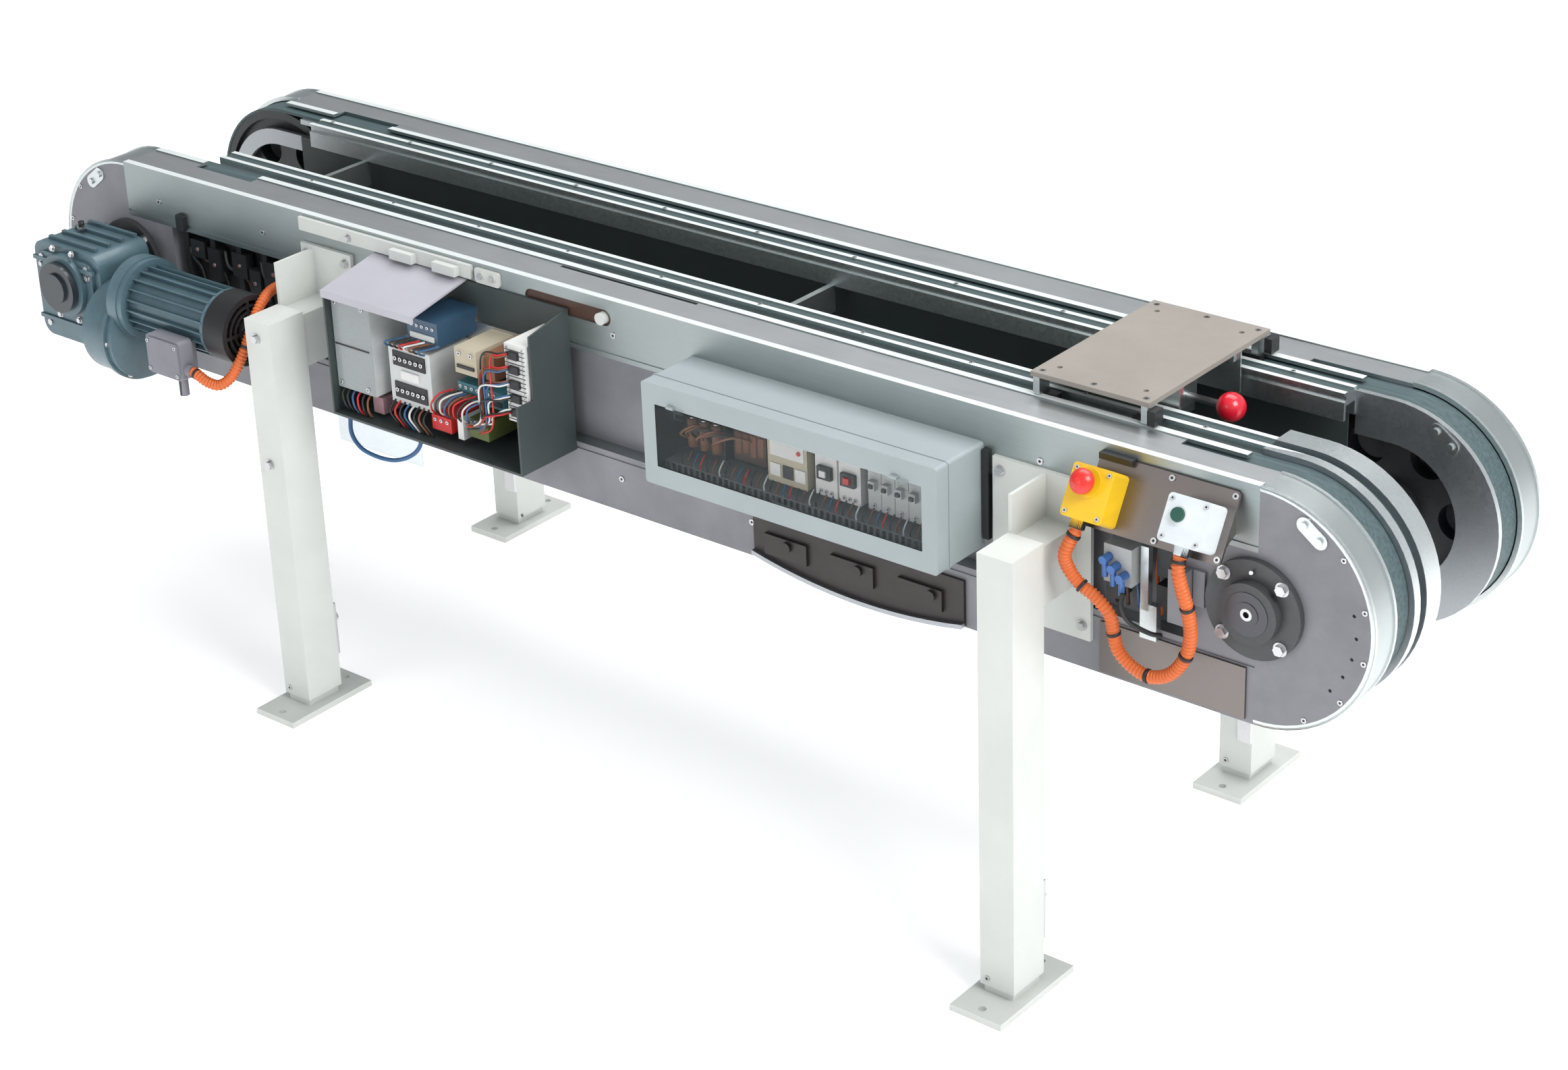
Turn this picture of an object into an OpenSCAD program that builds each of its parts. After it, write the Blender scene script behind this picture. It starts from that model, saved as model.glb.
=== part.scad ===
// Twin-track belt conveyor section on four legs, with a gearmotor, control boxes and one work carrier.
// X runs along the conveyor, +Y goes from the operator side to the far side, Z is up, Z = 0 is the floor.

/* [Tracks] */
// Distance between the two end axles
axle_spacing = 2550; // [2450:10:2700]
// Height of the end axles above the floor
axle_z = 746; // [700:1:900]
// Radius of the track's round ends, half its height
end_r = 200; // [195:1:205]
// Width over the outer faces of both tracks
span = 524; // [520:2:540]
// Width of one outer rail
rail_w = 96; // [90:1:100]
// Height of one outer rail
rail_h = 110; // [100:1:115]
// Width of one whole track, from outer face to channel
track_w = 164; // [162:1:170]
// Width of the rims round the track's ends
rim_w = 64; // [62:1:66]

/* [Belts] */
// Width of one belt
belt_w = 50; // [44:1:51]
// Thickness of one belt
belt_t = 5; // [4:0.5:6]
// Depth of the belt's surface below the rail's top
belt_drop = 10; // [8:1:12]

/* [Legs] */
// Width of a leg along the conveyor
leg_w = 66; // [60:1:70]
// Depth of a leg across the conveyor
leg_d = 84; // [80:1:90]
// Height of a leg's top end
leg_top = 803; // [760:1:830]
// Distance from the conveyor's centre plane to a leg's centre
leg_y = 404; // [400:1:410]
// Length of a foot plate across the conveyor
foot_l = 206; // [200:1:220]
// Width of a foot plate
foot_w = 100; // [90:1:110]
// Distance between the two floor bolts of a foot plate
foot_bolt_gap = 166; // [150:2:180]

/* [Carrier] */
// Centre of the carrier along the conveyor
carrier_x = 918; // [-1100:1:1130]
// Length of the carrier plate along the conveyor
carrier_l = 220; // [200:5:240]
// Width of the carrier plate across the conveyor
carrier_w = 356; // [350:1:360]
// Height of the carrier plate's top face
carrier_top = 985; // [980:1:995]

/* [Hidden] */
$fn = 64;

tiny = 0.01;
axle_x = axle_spacing / 2;
outer_y = span / 2;
rail_in_y = outer_y - rail_w;
inner_y = outer_y - track_w;
top_z = axle_z + end_r;
low_z = axle_z - end_r;
run_gap = 0.3;
shaft_r = 20;
shaft_end_y = outer_y + 30;
bearing_fit = 0.05;
belt_r = end_r - belt_drop;
belt_out_y = outer_y - rim_w - 1;
belt_mid_y = belt_out_y - belt_w / 2;
guide_t = 40;
guide_h = 48;
// The inner guides' straight strips end here, short of the two axles
guide_x0 = -1135;
guide_x1 = 1210;
web_y = outer_y - 30;
web_t = 4;
leg_xs = [-712, 928, -928, 878];
leg_sides = [-1, -1, 1, 1];

alu = [0.72, 0.75, 0.75];
alu_light = [0.86, 0.88, 0.88];
disc_grey = [0.47, 0.48, 0.50];
teal = [0.24, 0.35, 0.38];
black = [0.06, 0.06, 0.07];
white = [0.88, 0.89, 0.86];
steel = [0.62, 0.63, 0.64];
light_grey = [0.78, 0.82, 0.82];
beige = [0.76, 0.71, 0.60];
orange = [0.93, 0.42, 0.16];

// Box between two corners
module box(x0, x1, y0, y1, z0, z1) {
  translate([x0, y0, z0]) cube([x1 - x0, y1 - y0, z1 - z0]);
}

// Round bar along each axis
module rod_x(y, z, x0, x1, r) {
  translate([x0, y, z]) rotate([0, 90, 0]) cylinder(h = x1 - x0, r = r);
}
module rod_y(x, z, y0, y1, r) {
  translate([x, y0, z]) rotate([-90, 0, 0]) cylinder(h = y1 - y0, r = r);
}
module rod_z(x, y, z0, z1, r) {
  translate([x, y, z0]) cylinder(h = z1 - z0, r = r);
}

// Extrusions of a drawing in the XZ plane and of one in the YZ plane
module extrude_y(y0, y1) {
  translate([0, y1, 0]) rotate([90, 0, 0]) linear_extrude(y1 - y0) children();
}
module extrude_x(x0, x1) {
  translate([x0, 0, 0]) rotate([90, 0, 90]) linear_extrude(x1 - x0) children();
}

// Rectangle with round corners, from true arcs
module round_rect(x0, x1, y0, y1, r) {
  translate([x0 + r, y0]) square([x1 - x0 - 2 * r, y1 - y0]);
  translate([x0, y0 + r]) square([x1 - x0, y1 - y0 - 2 * r]);
  for (x = [x0 + r, x1 - r], y = [y0 + r, y1 - r]) translate([x, y]) circle(r);
}

// The far side mirrors the near side, and the left end mirrors the right end
module far_side() { mirror([0, 1, 0]) children(); }
module both_sides() { children(); far_side() children(); }
module both_ends() { children(); mirror([1, 0, 0]) children(); }
module top_and_bottom() {
  children();
  translate([0, 0, 2 * axle_z]) mirror([0, 0, 1]) children();
}

// Hexagon bolt head with a washer, its axis along -Y, seated at y
module bolt_y(x, z, y, r) {
  rod_y(x, z, y - 2, y, r * 1.3);
  translate([x, y - 2, z]) rotate([90, 0, 0]) cylinder(h = r * 0.8, r = r, $fn = 6);
}

// ---- tracks ----

// Section of the near top rail: a sunk band between two lips, a closed chamber along the outer face,
// and under the inner lip the channel that the belt runs in
module rail_section() {
  lip = 14;
  wall = 6;
  chamber = rim_w - 2 * wall;
  difference() {
    translate([-outer_y, top_z - rail_h]) square([rail_w, rail_h]);
    translate([-outer_y + lip, top_z - 2.5]) square([rail_w - 2 * lip, 3]);
    translate([-outer_y - 1, top_z - rail_h + 9]) square([3, 4]);
    translate([-outer_y + wall, top_z - rail_h + wall]) square([chamber, rail_h - 3 * wall]);
    translate([-outer_y + rim_w, top_z - rail_h + wall]) square([rail_w - rim_w - wall, rail_h - 40]);
    translate([-outer_y + rim_w, top_z - belt_drop - belt_t - 12]) square([rail_w - rim_w + 1, belt_t + 16]);
  }
}

// Both rails of one side, the lower one upside down
module rail_pair() {
  lip_y = -outer_y + rim_w;
  lip_end = -rail_in_y + 1;
  pulley_x = axle_x - end_r + 10;
  difference() {
    top_and_bottom() extrude_x(-axle_x, axle_x) rail_section();
    // Room for the pulleys, below the inner lip
    both_ends() top_and_bottom()
      box(pulley_x, axle_x + 1, lip_y, lip_end, top_z - rail_h - 1, top_z - 6);
    // The inner lip is cut away over the belt at both ends, and slit before the right end
    top_and_bottom() {
      box(guide_x0, -980, lip_y, lip_end, top_z - 7, top_z + 1);
      box(1204, axle_x + 1, lip_y, lip_end, top_z - 7, top_z + 1);
      box(1098, 1205, lip_y, lip_y + 18, top_z - 7, top_z + 1);
    }
  }
}
module slot_outline() {
  translate([-190, top_z - 36]) circle(15);
  translate([-20, top_z - 36]) circle(15);
  translate([-190, top_z - 51]) square([170, 30]);
}
module near_rails() {
  color(alu) difference() {
    rail_pair();
    // Sensor slit in the top face and the cable slot in the outer face
    box(-187, 127, -outer_y + 73, -outer_y + 80, top_z - 8, top_z + 1);
    extrude_y(-outer_y - 1, -outer_y + 12) slot_outline();
  }
}
module far_rails() { color(alu) far_side() rail_pair(); }

module web_panel(x0) {
  box(x0, axle_x - 125, -web_y, -web_y + web_t, low_z + rail_h, top_z - rail_h);
}
module near_web_panel() { color(disc_grey) web_panel(-780); }
module far_web_panel() { color(disc_grey) far_side() web_panel(-axle_x + 125); }

// Half disc that closes one end of a track, right end
module end_disc() {
  disc_r = end_r - 8;
  plate_t = 12;
  difference() {
    intersection() {
      rod_y(axle_x, axle_z, -outer_y, -outer_y + plate_t, disc_r);
      box(axle_x, axle_x + end_r, -outer_y - 1, -outer_y + plate_t + 1, low_z, top_z);
    }
    rod_y(axle_x, axle_z, -outer_y - 1, -outer_y + plate_t + 1, 28);
    for (a = [-38 : 12.5 : 24]) {
      hole_r = 168 - 4 * abs(a) / 30;
      rod_y(axle_x + hole_r * cos(a), axle_z + hole_r * sin(a), -outer_y - 1, -outer_y + 5, 3);
    }
  }
}
module near_end_discs() { color(disc_grey) both_ends() end_disc(); }
module far_end_discs() { color(disc_grey) far_side() both_ends() end_disc(); }

// Bent rim that carries the rail's section round the right end
module end_rim(w) {
  lip = 6;
  translate([axle_x, 0, axle_z]) rotate([90, 0, 0]) rotate([0, 0, -90])
    rotate_extrude(angle = 180, $fn = 128) difference() {
      translate([end_r - 8, outer_y - w]) square([8, w]);
      translate([end_r - 2.5, outer_y - w + lip]) square([3, w - 2 * lip]);
      translate([end_r - 2, outer_y - 2]) rotate([0, 0, 45]) square([6, 6]);
    }
}
module near_end_rims() {
  color(alu_light) {
    end_rim(rim_w);
    mirror([1, 0, 0]) end_rim(rail_w);
  }
}
module far_end_rims() { color(alu_light) far_side() both_ends() end_rim(rim_w); }

// Inner guides: grooved strips along the channel, and a flat half ring at each end
module guide_section() {
  difference() {
    translate([-outer_y + track_w - guide_t, top_z - guide_h]) square([guide_t, guide_h]);
    translate([-inner_y - 30, top_z - 3]) square([20, 4]);
    translate([-inner_y - 5, top_z - 16]) square([6, 11]);
    translate([-inner_y - 34, top_z - guide_h - 1]) square([28, guide_h - 22]);
  }
}
// Half ring about the right axle: radii r0 to r1, from y0 to y1 on the far side's y
module half_ring(r0, r1, y0, y1) {
  translate([axle_x, 0, axle_z]) rotate([90, 0, 0]) rotate([0, 0, -90])
    rotate_extrude(angle = 180, $fn = 128) translate([r0, y0]) square([r1 - r0, y1 - y0]);
}
// The same ring carried straight on to the end of the strips
module ring_with_ends(r0, r1, y0, y1) {
  half_ring(r0, r1, y0, y1);
  top_and_bottom() box(guide_x1, axle_x, -y1, -y0, axle_z + r0, axle_z + r1);
}
ring_y = belt_out_y - belt_w - 1;
opening_r = 118;
// Near right end: a ring beside the belt and a second, wider ring band nearer the channel
module near_ring() {
  ring_with_ends(opening_r, end_r, ring_y - 18, ring_y);
  ring_with_ends(150, end_r - 12, ring_y - 37, ring_y - 18);
  ring_with_ends(150, end_r, ring_y - 81, ring_y - 37);
}
module guide_strips() { top_and_bottom() extrude_x(guide_x0, guide_x1) guide_section(); }
module left_ring() {
  mirror([1, 0, 0]) half_ring(opening_r, 150, ring_y - 10, ring_y);
  top_and_bottom() box(-axle_x, guide_x0, -ring_y, -ring_y + 10, axle_z + opening_r, axle_z + 150);
  top_and_bottom() box(guide_x0, guide_x0 + 20, -ring_y, -ring_y + 10, axle_z + opening_r, top_z - guide_h + 20);
}
module near_inner_guide() {
  color(alu_light) {
    guide_strips();
    near_ring();
    left_ring();
  }
}
module far_inner_guide() {
  color(alu_light) far_side() {
    guide_strips();
    ring_with_ends(opening_r, end_r - 8, ring_y - 10, ring_y);
    left_ring();
  }
}

module slider_beds() {
  bed_t = 10;
  bed_top = axle_z + belt_r - belt_t;
  bed_x = axle_x - 70;
  color(alu) both_sides() top_and_bottom()
    box(-bed_x, bed_x, -outer_y + rim_w, -inner_y - guide_t, bed_top - bed_t, bed_top);
}

// Belt loop: two straight runs and two half turns
module belt_loop() {
  y0 = -belt_mid_y - belt_w / 2;
  difference() {
    extrude_y(y0, y0 + belt_w) stadium(belt_r);
    extrude_y(y0 - 1, y0 + belt_w + 1) stadium(belt_r - belt_t);
  }
}
module stadium(r) {
  for (side = [-1, 1]) translate([side * axle_x, axle_z]) circle(r, $fn = 128);
  translate([-axle_x, axle_z - r]) square([axle_spacing, 2 * r]);
}
module near_belt() { color(teal) belt_loop(); }
module far_belt() { color(teal) far_side() belt_loop(); }

// Solid blocks in the web recess that carry the bearings beside the discs
module end_blocks() {
  color(disc_grey) both_sides() both_ends() difference() {
    box(axle_x - 125, axle_x, -outer_y, -web_y + web_t, low_z + rail_h, top_z - rail_h);
    rod_y(axle_x, axle_z, -outer_y - 1, -web_y + web_t + 1, 28);
  }
}

// ---- bearings ----

flange_t = 12;
boss_l = 28;
insert_r = 36;
bolt_off = 50;

module bearing_housings() {
  color(black) both_sides() both_ends() difference() {
    union() {
      rod_y(axle_x, axle_z, -outer_y - flange_t, -outer_y, 82);
      rod_y(axle_x, axle_z, -outer_y - boss_l, -outer_y, 50);
    }
    rod_y(axle_x, axle_z, -outer_y - boss_l - 1, -outer_y + 1, insert_r);
  }
}
module bearing_inserts() {
  color(steel) both_sides() both_ends() difference() {
    rod_y(axle_x, axle_z, -outer_y - boss_l - 1, -outer_y, insert_r);
    rod_y(axle_x, axle_z, -outer_y - boss_l - 2, -outer_y + 1, shaft_r + bearing_fit);
  }
}
module bearing_bolts() {
  color(steel) both_sides() both_ends()
    for (dx = [-bolt_off, bolt_off], dz = [-bolt_off, bolt_off])
      bolt_y(axle_x + dx, axle_z + dz, -outer_y - flange_t, 9);
}

// Small oval plates with two screws on the end discs
module oval_plate(y_face) {
  angle = 59;
  plate_r = 174;
  translate([axle_x + plate_r * cos(angle), y_face, axle_z + plate_r * sin(angle)]) rotate([0, 37, 0]) {
    rotate([90, 0, 0]) linear_extrude(3) {
      for (side = [-1, 1]) translate([side * 16, 0]) circle(13);
      translate([-16, -13]) square([32, 26]);
    }
    for (side = [-1, 1]) rotate([90, 0, 0]) translate([side * 16, 0, 3]) cylinder(h = 4, r = 6);
  }
}
module screw_plates() {
  color(alu_light) {
    both_sides() both_ends() oval_plate(-outer_y);
    oval_plate(ring_y - 10);
  }
}

// ---- frame ----

module cross_beams() {
  beam = 60;
  wall = 4;
  color(alu) for (x = [-1040, -420, 300, 1040]) difference() {
    box(x - beam / 2, x + beam / 2, -web_y + web_t, web_y - web_t, axle_z - beam / 2, axle_z + beam / 2);
    box(x - beam / 2 + wall, x + beam / 2 - wall, -web_y, web_y,
        axle_z - beam / 2 + wall, axle_z + beam / 2 - wall);
  }
}
module channel_ties() {
  color(alu) for (x = [-980, 190, 930])
    box(x - 6, x + 6, -inner_y - 6, inner_y + 6, top_z - guide_h - 50, top_z - guide_h);
  // Dark trough between the tracks, on the cross beams
  trough_y = inner_y + guide_t - 4;
  color([0.20, 0.25, 0.25]) difference() {
    box(-1200, 1200, -trough_y, trough_y, axle_z + 30, top_z - guide_h - 1);
    box(-1201, 1201, -trough_y + 3, trough_y - 3, axle_z + 33, top_z);
  }
}

// Legs: rectangular tubes with a closed top, over the foot posts
module leg(i) {
  x = leg_xs[i];
  y = leg_sides[i] * leg_y;
  wall = 4;
  color(white) difference() {
    box(x - leg_w / 2, x + leg_w / 2, y - leg_d / 2, y + leg_d / 2, 26, leg_top);
    box(x - leg_w / 2 + wall, x + leg_w / 2 - wall, y - leg_d / 2 + wall, y + leg_d / 2 - wall,
        0, leg_top - wall);
  }
}
module near_left_leg() { leg(0); }
module near_right_leg() { leg(1); }
module far_left_leg() { leg(2); }
module far_right_leg() { leg(3); }

foot_t = 12;
module feet() {
  post_top = 240;
  slack = 5;
  color(white) for (i = [0 : 3]) translate([leg_xs[i], leg_sides[i] * leg_y, 0]) {
    difference() {
      box(-foot_w / 2, foot_w / 2, -foot_l / 2, foot_l / 2, 0, foot_t);
      for (side = [-1, 1]) rod_z(0, side * foot_bolt_gap / 2, -1, foot_t + 1, 7);
    }
    difference() {
      box(-leg_w / 2 + slack, leg_w / 2 - slack, -leg_d / 2 + slack, leg_d / 2 - slack, foot_t, post_top);
      box(-leg_w / 2 + 2 * slack, leg_w / 2 - 2 * slack, -leg_d / 2 + 2 * slack, leg_d / 2 - 2 * slack,
          foot_t, post_top + 1);
    }
  }
}

// Brackets between a leg's inner side and the track: wall plate, arm and upright
module leg_bracket(i, x0, x1, z0, z1) {
  x = leg_xs[i];
  back = -leg_y + leg_d / 2;
  box(x0, x1, -outer_y - 8, -outer_y, z0, z1);
  box(x - 30, x + 30, back, -outer_y - 8, leg_top - 110, leg_top - 8);
}
module leg_brackets() {
  color(white) {
    leg_bracket(0, -772, -640, 690, top_z - 56);
    leg_bracket(1, 800, 985, 600, 872);
    far_side() leg_bracket(2, -990, -866, 690, top_z - 56);
    far_side() leg_bracket(3, 816, 940, 690, top_z - 56);
    // Uprights that stand on the near leg tops
    box(-712 - leg_w / 2, -712 - leg_w / 2 + 6, -outer_y - 100, -outer_y - 8, leg_top - 8, top_z - 62);
    box(928 - leg_w / 2, 928 - leg_w / 2 + 6, -outer_y - 100, -outer_y - 8, leg_top - 8, top_z - 78);
  }
}

// Bolt heads on the legs, and on the brackets' wall plates
module leg_bolts() {
  front = -leg_y - leg_d / 2;
  color(steel) {
    for (z = [516, 769]) bolt_y(-712 - 4, z, front, 8);
    for (i = [0, 1]) leg_clamp(leg_xs[i]);
    far_side() for (i = [2, 3]) leg_clamp(leg_xs[i]);
    for (x = [-757, -655], z = [705, 872]) bolt_y(x, z, -outer_y - 8, 7);
    for (x = [815, 970], z = [625, 850]) bolt_y(x, z, -outer_y - 8, 7);
    far_side() for (x = [-978, -878, 828, 928], z = [705, 872]) bolt_y(x, z, -outer_y - 8, 7);
  }
}
// Height clamp behind a leg: a strip with a bolt
module leg_clamp(x) {
  back = -leg_y + leg_d / 2;
  box(x + 6, x + leg_w / 2, back, back + 5, 92, 200);
  translate([x + 20, back + 5, 165]) rotate([-90, 0, 0]) cylinder(h = 9, r = 9, $fn = 6);
}

// ---- gearmotor ----

gear_y0 = -outer_y - 163;
gear_y1 = -outer_y - 40;
motor_y = -392;
motor_z = 748;
rotor_r = 9;

module gearbox_housing() {
  x = -axle_x;
  color(teal) difference() {
    union() {
      extrude_y(gear_y0, gear_y1) round_rect(x - 97, x + 96, 622, 818, 26);
      extrude_y(gear_y0 - 8, gear_y0) round_rect(x - 81, x + 80, 638, 802, 24);
      rod_y(x, axle_z, gear_y0 - 20, gear_y0, 62);
      rod_y(x, axle_z, gear_y1, gear_y1 + 10, 56);
      for (z = [660, 782]) box(x - 89, x + 88, gear_y0 - 12, gear_y0 - 6, z, z + 8);
      for (y = [gear_y0 + 16 : 32 : gear_y1 - 10]) box(x - 69, x + 70, y, y + 8, 816, 825);
    }
    rod_y(x, axle_z, gear_y0 - 30, gear_y1 + 20, shaft_r + bearing_fit);
    // Inside of the casting
    extrude_y(gear_y0 + 14, gear_y1 - 14) round_rect(x - 83, x + 82, 636, 804, 16);
  }
}
module gearbox_cover() {
  x = -axle_x;
  color(black) {
    rod_y(x, axle_z, gear_y0 - 34, gear_y0 - 20, 50);
    rod_y(x, axle_z, gear_y0 - 40, gear_y0 - 34, 30);
  }
  color(steel) rod_x(-360, 786, x - 119, x - 97, 10);
}
module gearbox_adapter() {
  x0 = -axle_x + 96;
  color(teal) difference() {
    union() {
      rod_x(motor_y, 676, x0, x0 + 84, 92);
      rod_x(motor_y, 676, x0 + 60, x0 + 70, 98);
      rod_x(motor_y, motor_z, x0 + 70, x0 + 96, 80);
    }
    rod_x(motor_y, 676, x0 + 10, x0 + 74, 82);
    rod_x(motor_y, motor_z, x0 + 60, x0 + 120, rotor_r + bearing_fit);
  }
}
motor_x0 = -axle_x + 192;
motor_x1 = motor_x0 + 232;
module motor_housing() {
  color(teal) difference() {
    union() {
      rod_x(motor_y, motor_z, motor_x0, motor_x1, 58);
      rod_x(motor_y, motor_z, motor_x0, motor_x0 + 14, 78);
      rod_x(motor_y, motor_z, motor_x1 - 10, motor_x1, 66);
      for (a = [0 : 18 : 359]) translate([motor_x0, motor_y, motor_z]) rotate([a, 0, 0])
        translate([0, -1.6, 50]) cube([motor_x1 - motor_x0 - 6, 3.2, 17]);
    }
    rod_x(motor_y, motor_z, motor_x0 + 12, motor_x1 - 8, 50);
    rod_x(motor_y, motor_z, motor_x0 - 1, motor_x1 + 1, rotor_r + bearing_fit);
  }
}
module fan_cover() {
  color(black) difference() {
    rod_x(motor_y, motor_z, motor_x1, motor_x1 + 56, 68);
    rod_x(motor_y, motor_z, motor_x1 - 1, motor_x1 + 52, 64);
    for (ring = [18 : 12 : 54]) difference() {
      rod_x(motor_y, motor_z, motor_x1 + 50, motor_x1 + 60, ring + 3.5);
      rod_x(motor_y, motor_z, motor_x1 + 49, motor_x1 + 61, ring - 3.5);
      for (a = [0, 90]) translate([motor_x1 + 48, motor_y, motor_z]) rotate([a, 0, 0])
        translate([0, -3, -60]) cube([16, 6, 120]);
    }
  }
}
module motor_terminal_box() {
  x0 = motor_x0 + 96;
  color(steel) {
    extrude_y(motor_y - 98, motor_y - 68) round_rect(x0 + 8, x0 + 102, 656, 734, 8);
    extrude_y(motor_y - 102, motor_y - 98) round_rect(x0 + 12, x0 + 98, 660, 730, 8);
    box(x0 + 10, x0 + 96, motor_y - 68, motor_y - 54, 668, 726);
    rod_x(motor_y - 83, 676, x0 + 102, x0 + 116, 12);
  }
  color(black) rod_z(x0 + 84, motor_y - 83, 622, 656, 9);
}
// Torque arm under the gearbox, stay plates in the open recess beside the drive, and the motor's plug
module drive_brackets() {
  x = -axle_x;
  color(black) {
    box(x - 15, x + 45, gear_y1, -outer_y - 8, 626, 650);
    box(x - 25, x + 50, -outer_y - 8, -outer_y, 590, 654);
    extrude_y(-outer_y - 10, -outer_y) round_rect(x + 150, x + 172, 838, 872, 6);
  }
  color(black) box(x + 125, -780, -web_y, -web_y + web_t, low_z + rail_h, top_z - rail_h);
  color(disc_grey) for (dx = [150, 226, 300, 372, 440])
    box(x + dx, x + dx + 14, -outer_y + 6, -web_y + web_t, low_z + rail_h, top_z - rail_h);
  color([0.12, 0.24, 0.42]) {
    box(-804, -773, -306, -outer_y + 6, 796, 832);
  }
}

// ---- turning parts ----

module drive_shaft() {
  color(black) rod_y(-axle_x, axle_z, gear_y0 - 18, shaft_end_y, shaft_r);
}
module tail_shaft() {
  color(black) difference() {
    rod_y(axle_x, axle_z, -shaft_end_y, shaft_end_y, shaft_r);
    for (side = [-1, 1]) rod_y(axle_x, axle_z, side * shaft_end_y - 6, side * shaft_end_y + 6, 5);
  }
}
// Belt pulley: hub, web with round windows, and rim
module pulley() {
  rim_r = belt_r - belt_t - run_gap;
  y0 = -belt_mid_y - belt_w / 2 + 1;
  w = belt_w - 2;
  difference() {
    rod_y(axle_x, axle_z, y0, y0 + w, rim_r);
    rod_y(axle_x, axle_z, y0 - 1, y0 + w + 1, shaft_r);
    for (side = [0, 1]) difference() {
      rod_y(axle_x, axle_z, y0 - 1 + side * (w - 10), y0 + 11 + side * (w - 10), rim_r - 16);
      rod_y(axle_x, axle_z, y0 - 2 + side * (w - 10), y0 + 12 + side * (w - 10), 44);
    }
    for (a = [0 : 60 : 300])
      rod_y(axle_x + 108 * cos(a), axle_z + 108 * sin(a), y0 - 1, y0 + w + 1, 32);
  }
}
module tail_pulleys() { color(black) both_sides() pulley(); }
module drive_pulleys() { color(black) both_sides() mirror([1, 0, 0]) pulley(); }

module motor_rotor() {
  color(steel) {
    rod_x(motor_y, motor_z, -axle_x + 110, motor_x1 + 34, rotor_r);
    rod_x(motor_y, motor_z, motor_x0 + 40, motor_x1 - 40, 40);
  }
  color(black) {
    rod_x(motor_y, motor_z, motor_x1 + 12, motor_x1 + 32, 22);
    for (a = [0 : 45 : 315]) translate([motor_x1 + 12, motor_y, motor_z]) rotate([a, 0, 0])
      translate([0, -1.5, 20]) cube([20, 3, 38]);
  }
}

// ---- window enclosure ----

enc_x0 = 172;
enc_x1 = 778;
enc_y0 = -387;
enc_z0 = 702;
enc_z1 = 887;
win_x0 = 200;
win_x1 = 748;
win_z0 = 737;
win_z1 = 850;

module enclosure_shell() {
  wall = 4;
  color(light_grey) difference() {
    union() {
      extrude_y(enc_y0, -outer_y) round_rect(enc_x0, enc_x1, enc_z0, enc_z1, 6);
      extrude_y(enc_y0 + 30, enc_y0 + 33)
        round_rect(enc_x0 - 1.5, enc_x1 + 1.5, enc_z0 - 1.5, enc_z1 + 1.5, 7);
    }
    box(enc_x0 + wall, enc_x1 - wall, enc_y0 + wall, -outer_y - wall, enc_z0 + wall, enc_z1 - wall);
    box(win_x0, win_x1, enc_y0 - 5, enc_y0 + 10, win_z0, win_z1);
  }
  shell_knuckles();
}
// Hinge line above the window: two fixed knuckles on the shell beside two barrels on the flap
hinge_y = enc_y0 - 3.5;
hinge_z = win_z1 + 3;
module shell_knuckles() {
  color(light_grey) for (x = [230, 690]) {
    rod_x(hinge_y, hinge_z, x, x + 14, 3);
    box(x, x + 14, hinge_y, enc_y0, hinge_z - 2, hinge_z + 3);
  }
}
// Clear flap on two hinge barrels along its top edge
module enclosure_window() {
  gap = 0.6;
  color(steel) for (x = [244.3, 704.3]) {
    rod_x(hinge_y, hinge_z, x, x + 20, 3);
    box(x, x + 20, hinge_y - 1, hinge_y + 1, win_z1 - 14, hinge_z);
    box(x, x + 20, hinge_y, enc_y0 + 1, win_z1 - 14, win_z1 - 5);
  }
  color([0.75, 0.82, 0.85, 0.35]) {
    box(win_x0 + gap, win_x1 - gap, enc_y0 + 0.8, enc_y0 + 3.2, win_z0 + gap, win_z1 - 3);
    box(win_x0 + 250, win_x0 + 298, enc_y0 - 5, enc_y0 + 0.8, win_z0 + 4, win_z0 + 10);
  }
}
module enclosure_modules() {
  back = -outer_y - 4;
  front = -340;
  color(steel) box(enc_x0 + 14, enc_x1 - 14, back - 12, back, 776, 811);
  color(beige) box(404, 486, front - 4, back - 12, 752, 842);
  color([0.9, 0.9, 0.9]) for (i = [0 : 1])
    box(500 + 48 * i, 544 + 48 * i, front, back - 12, 752, 838);
  color(black) for (i = [0 : 1]) {
    box(508 + 48 * i, 536 + 48 * i, front - 8, front, 784, 806);
    box(496 + 48 * i, 500 + 48 * i, front + 6, back - 12, 756, 834);
  }
  color(light_grey) for (i = [0 : 4]) {
    box(604 + 27 * i, 630 + 27 * i, front + 4, back - 12, 752, 838);
    box(611 + 27 * i, 623 + 27 * i, front - 6, front + 4, 790, 806);
  }
  color([0.22, 0.12, 0.10]) {
    box(216, 300, front + 12, back - 12, 750, 834);
    box(312, 380, front + 20, back - 12, 756, 836);
  }
  color(disc_grey) box(enc_x0 + 14, enc_x1 - 14, -352, back - 20, enc_z0 + 4, enc_z0 + 30);
}

// ---- open terminal box ----

tb_x0 = -576;
tb_x1 = -104;
tb_y0 = -402;
tb_z0 = 640;
// Top edge at the front, and where it meets the rail
tb_z1 = 880;
tb_back_z = 908;
lid_x1 = -345;

module terminal_box() {
  wall = 4;
  color([0.20, 0.25, 0.25]) difference() {
    extrude_x(tb_x0, tb_x1)
      polygon([[tb_y0, tb_z0], [-outer_y, tb_z0], [-outer_y, tb_back_z], [tb_y0, tb_z1]]);
    box(tb_x0 + wall, tb_x1 - wall, tb_y0 - 1, -outer_y - wall, tb_z0 + wall, tb_back_z + 1);
    // The right wall is cut lower at the front
    box(tb_x1 - 10, tb_x1 + 1, tb_y0 - 1, tb_y0 + 40, 770, tb_back_z + 1);
  }
}
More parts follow.
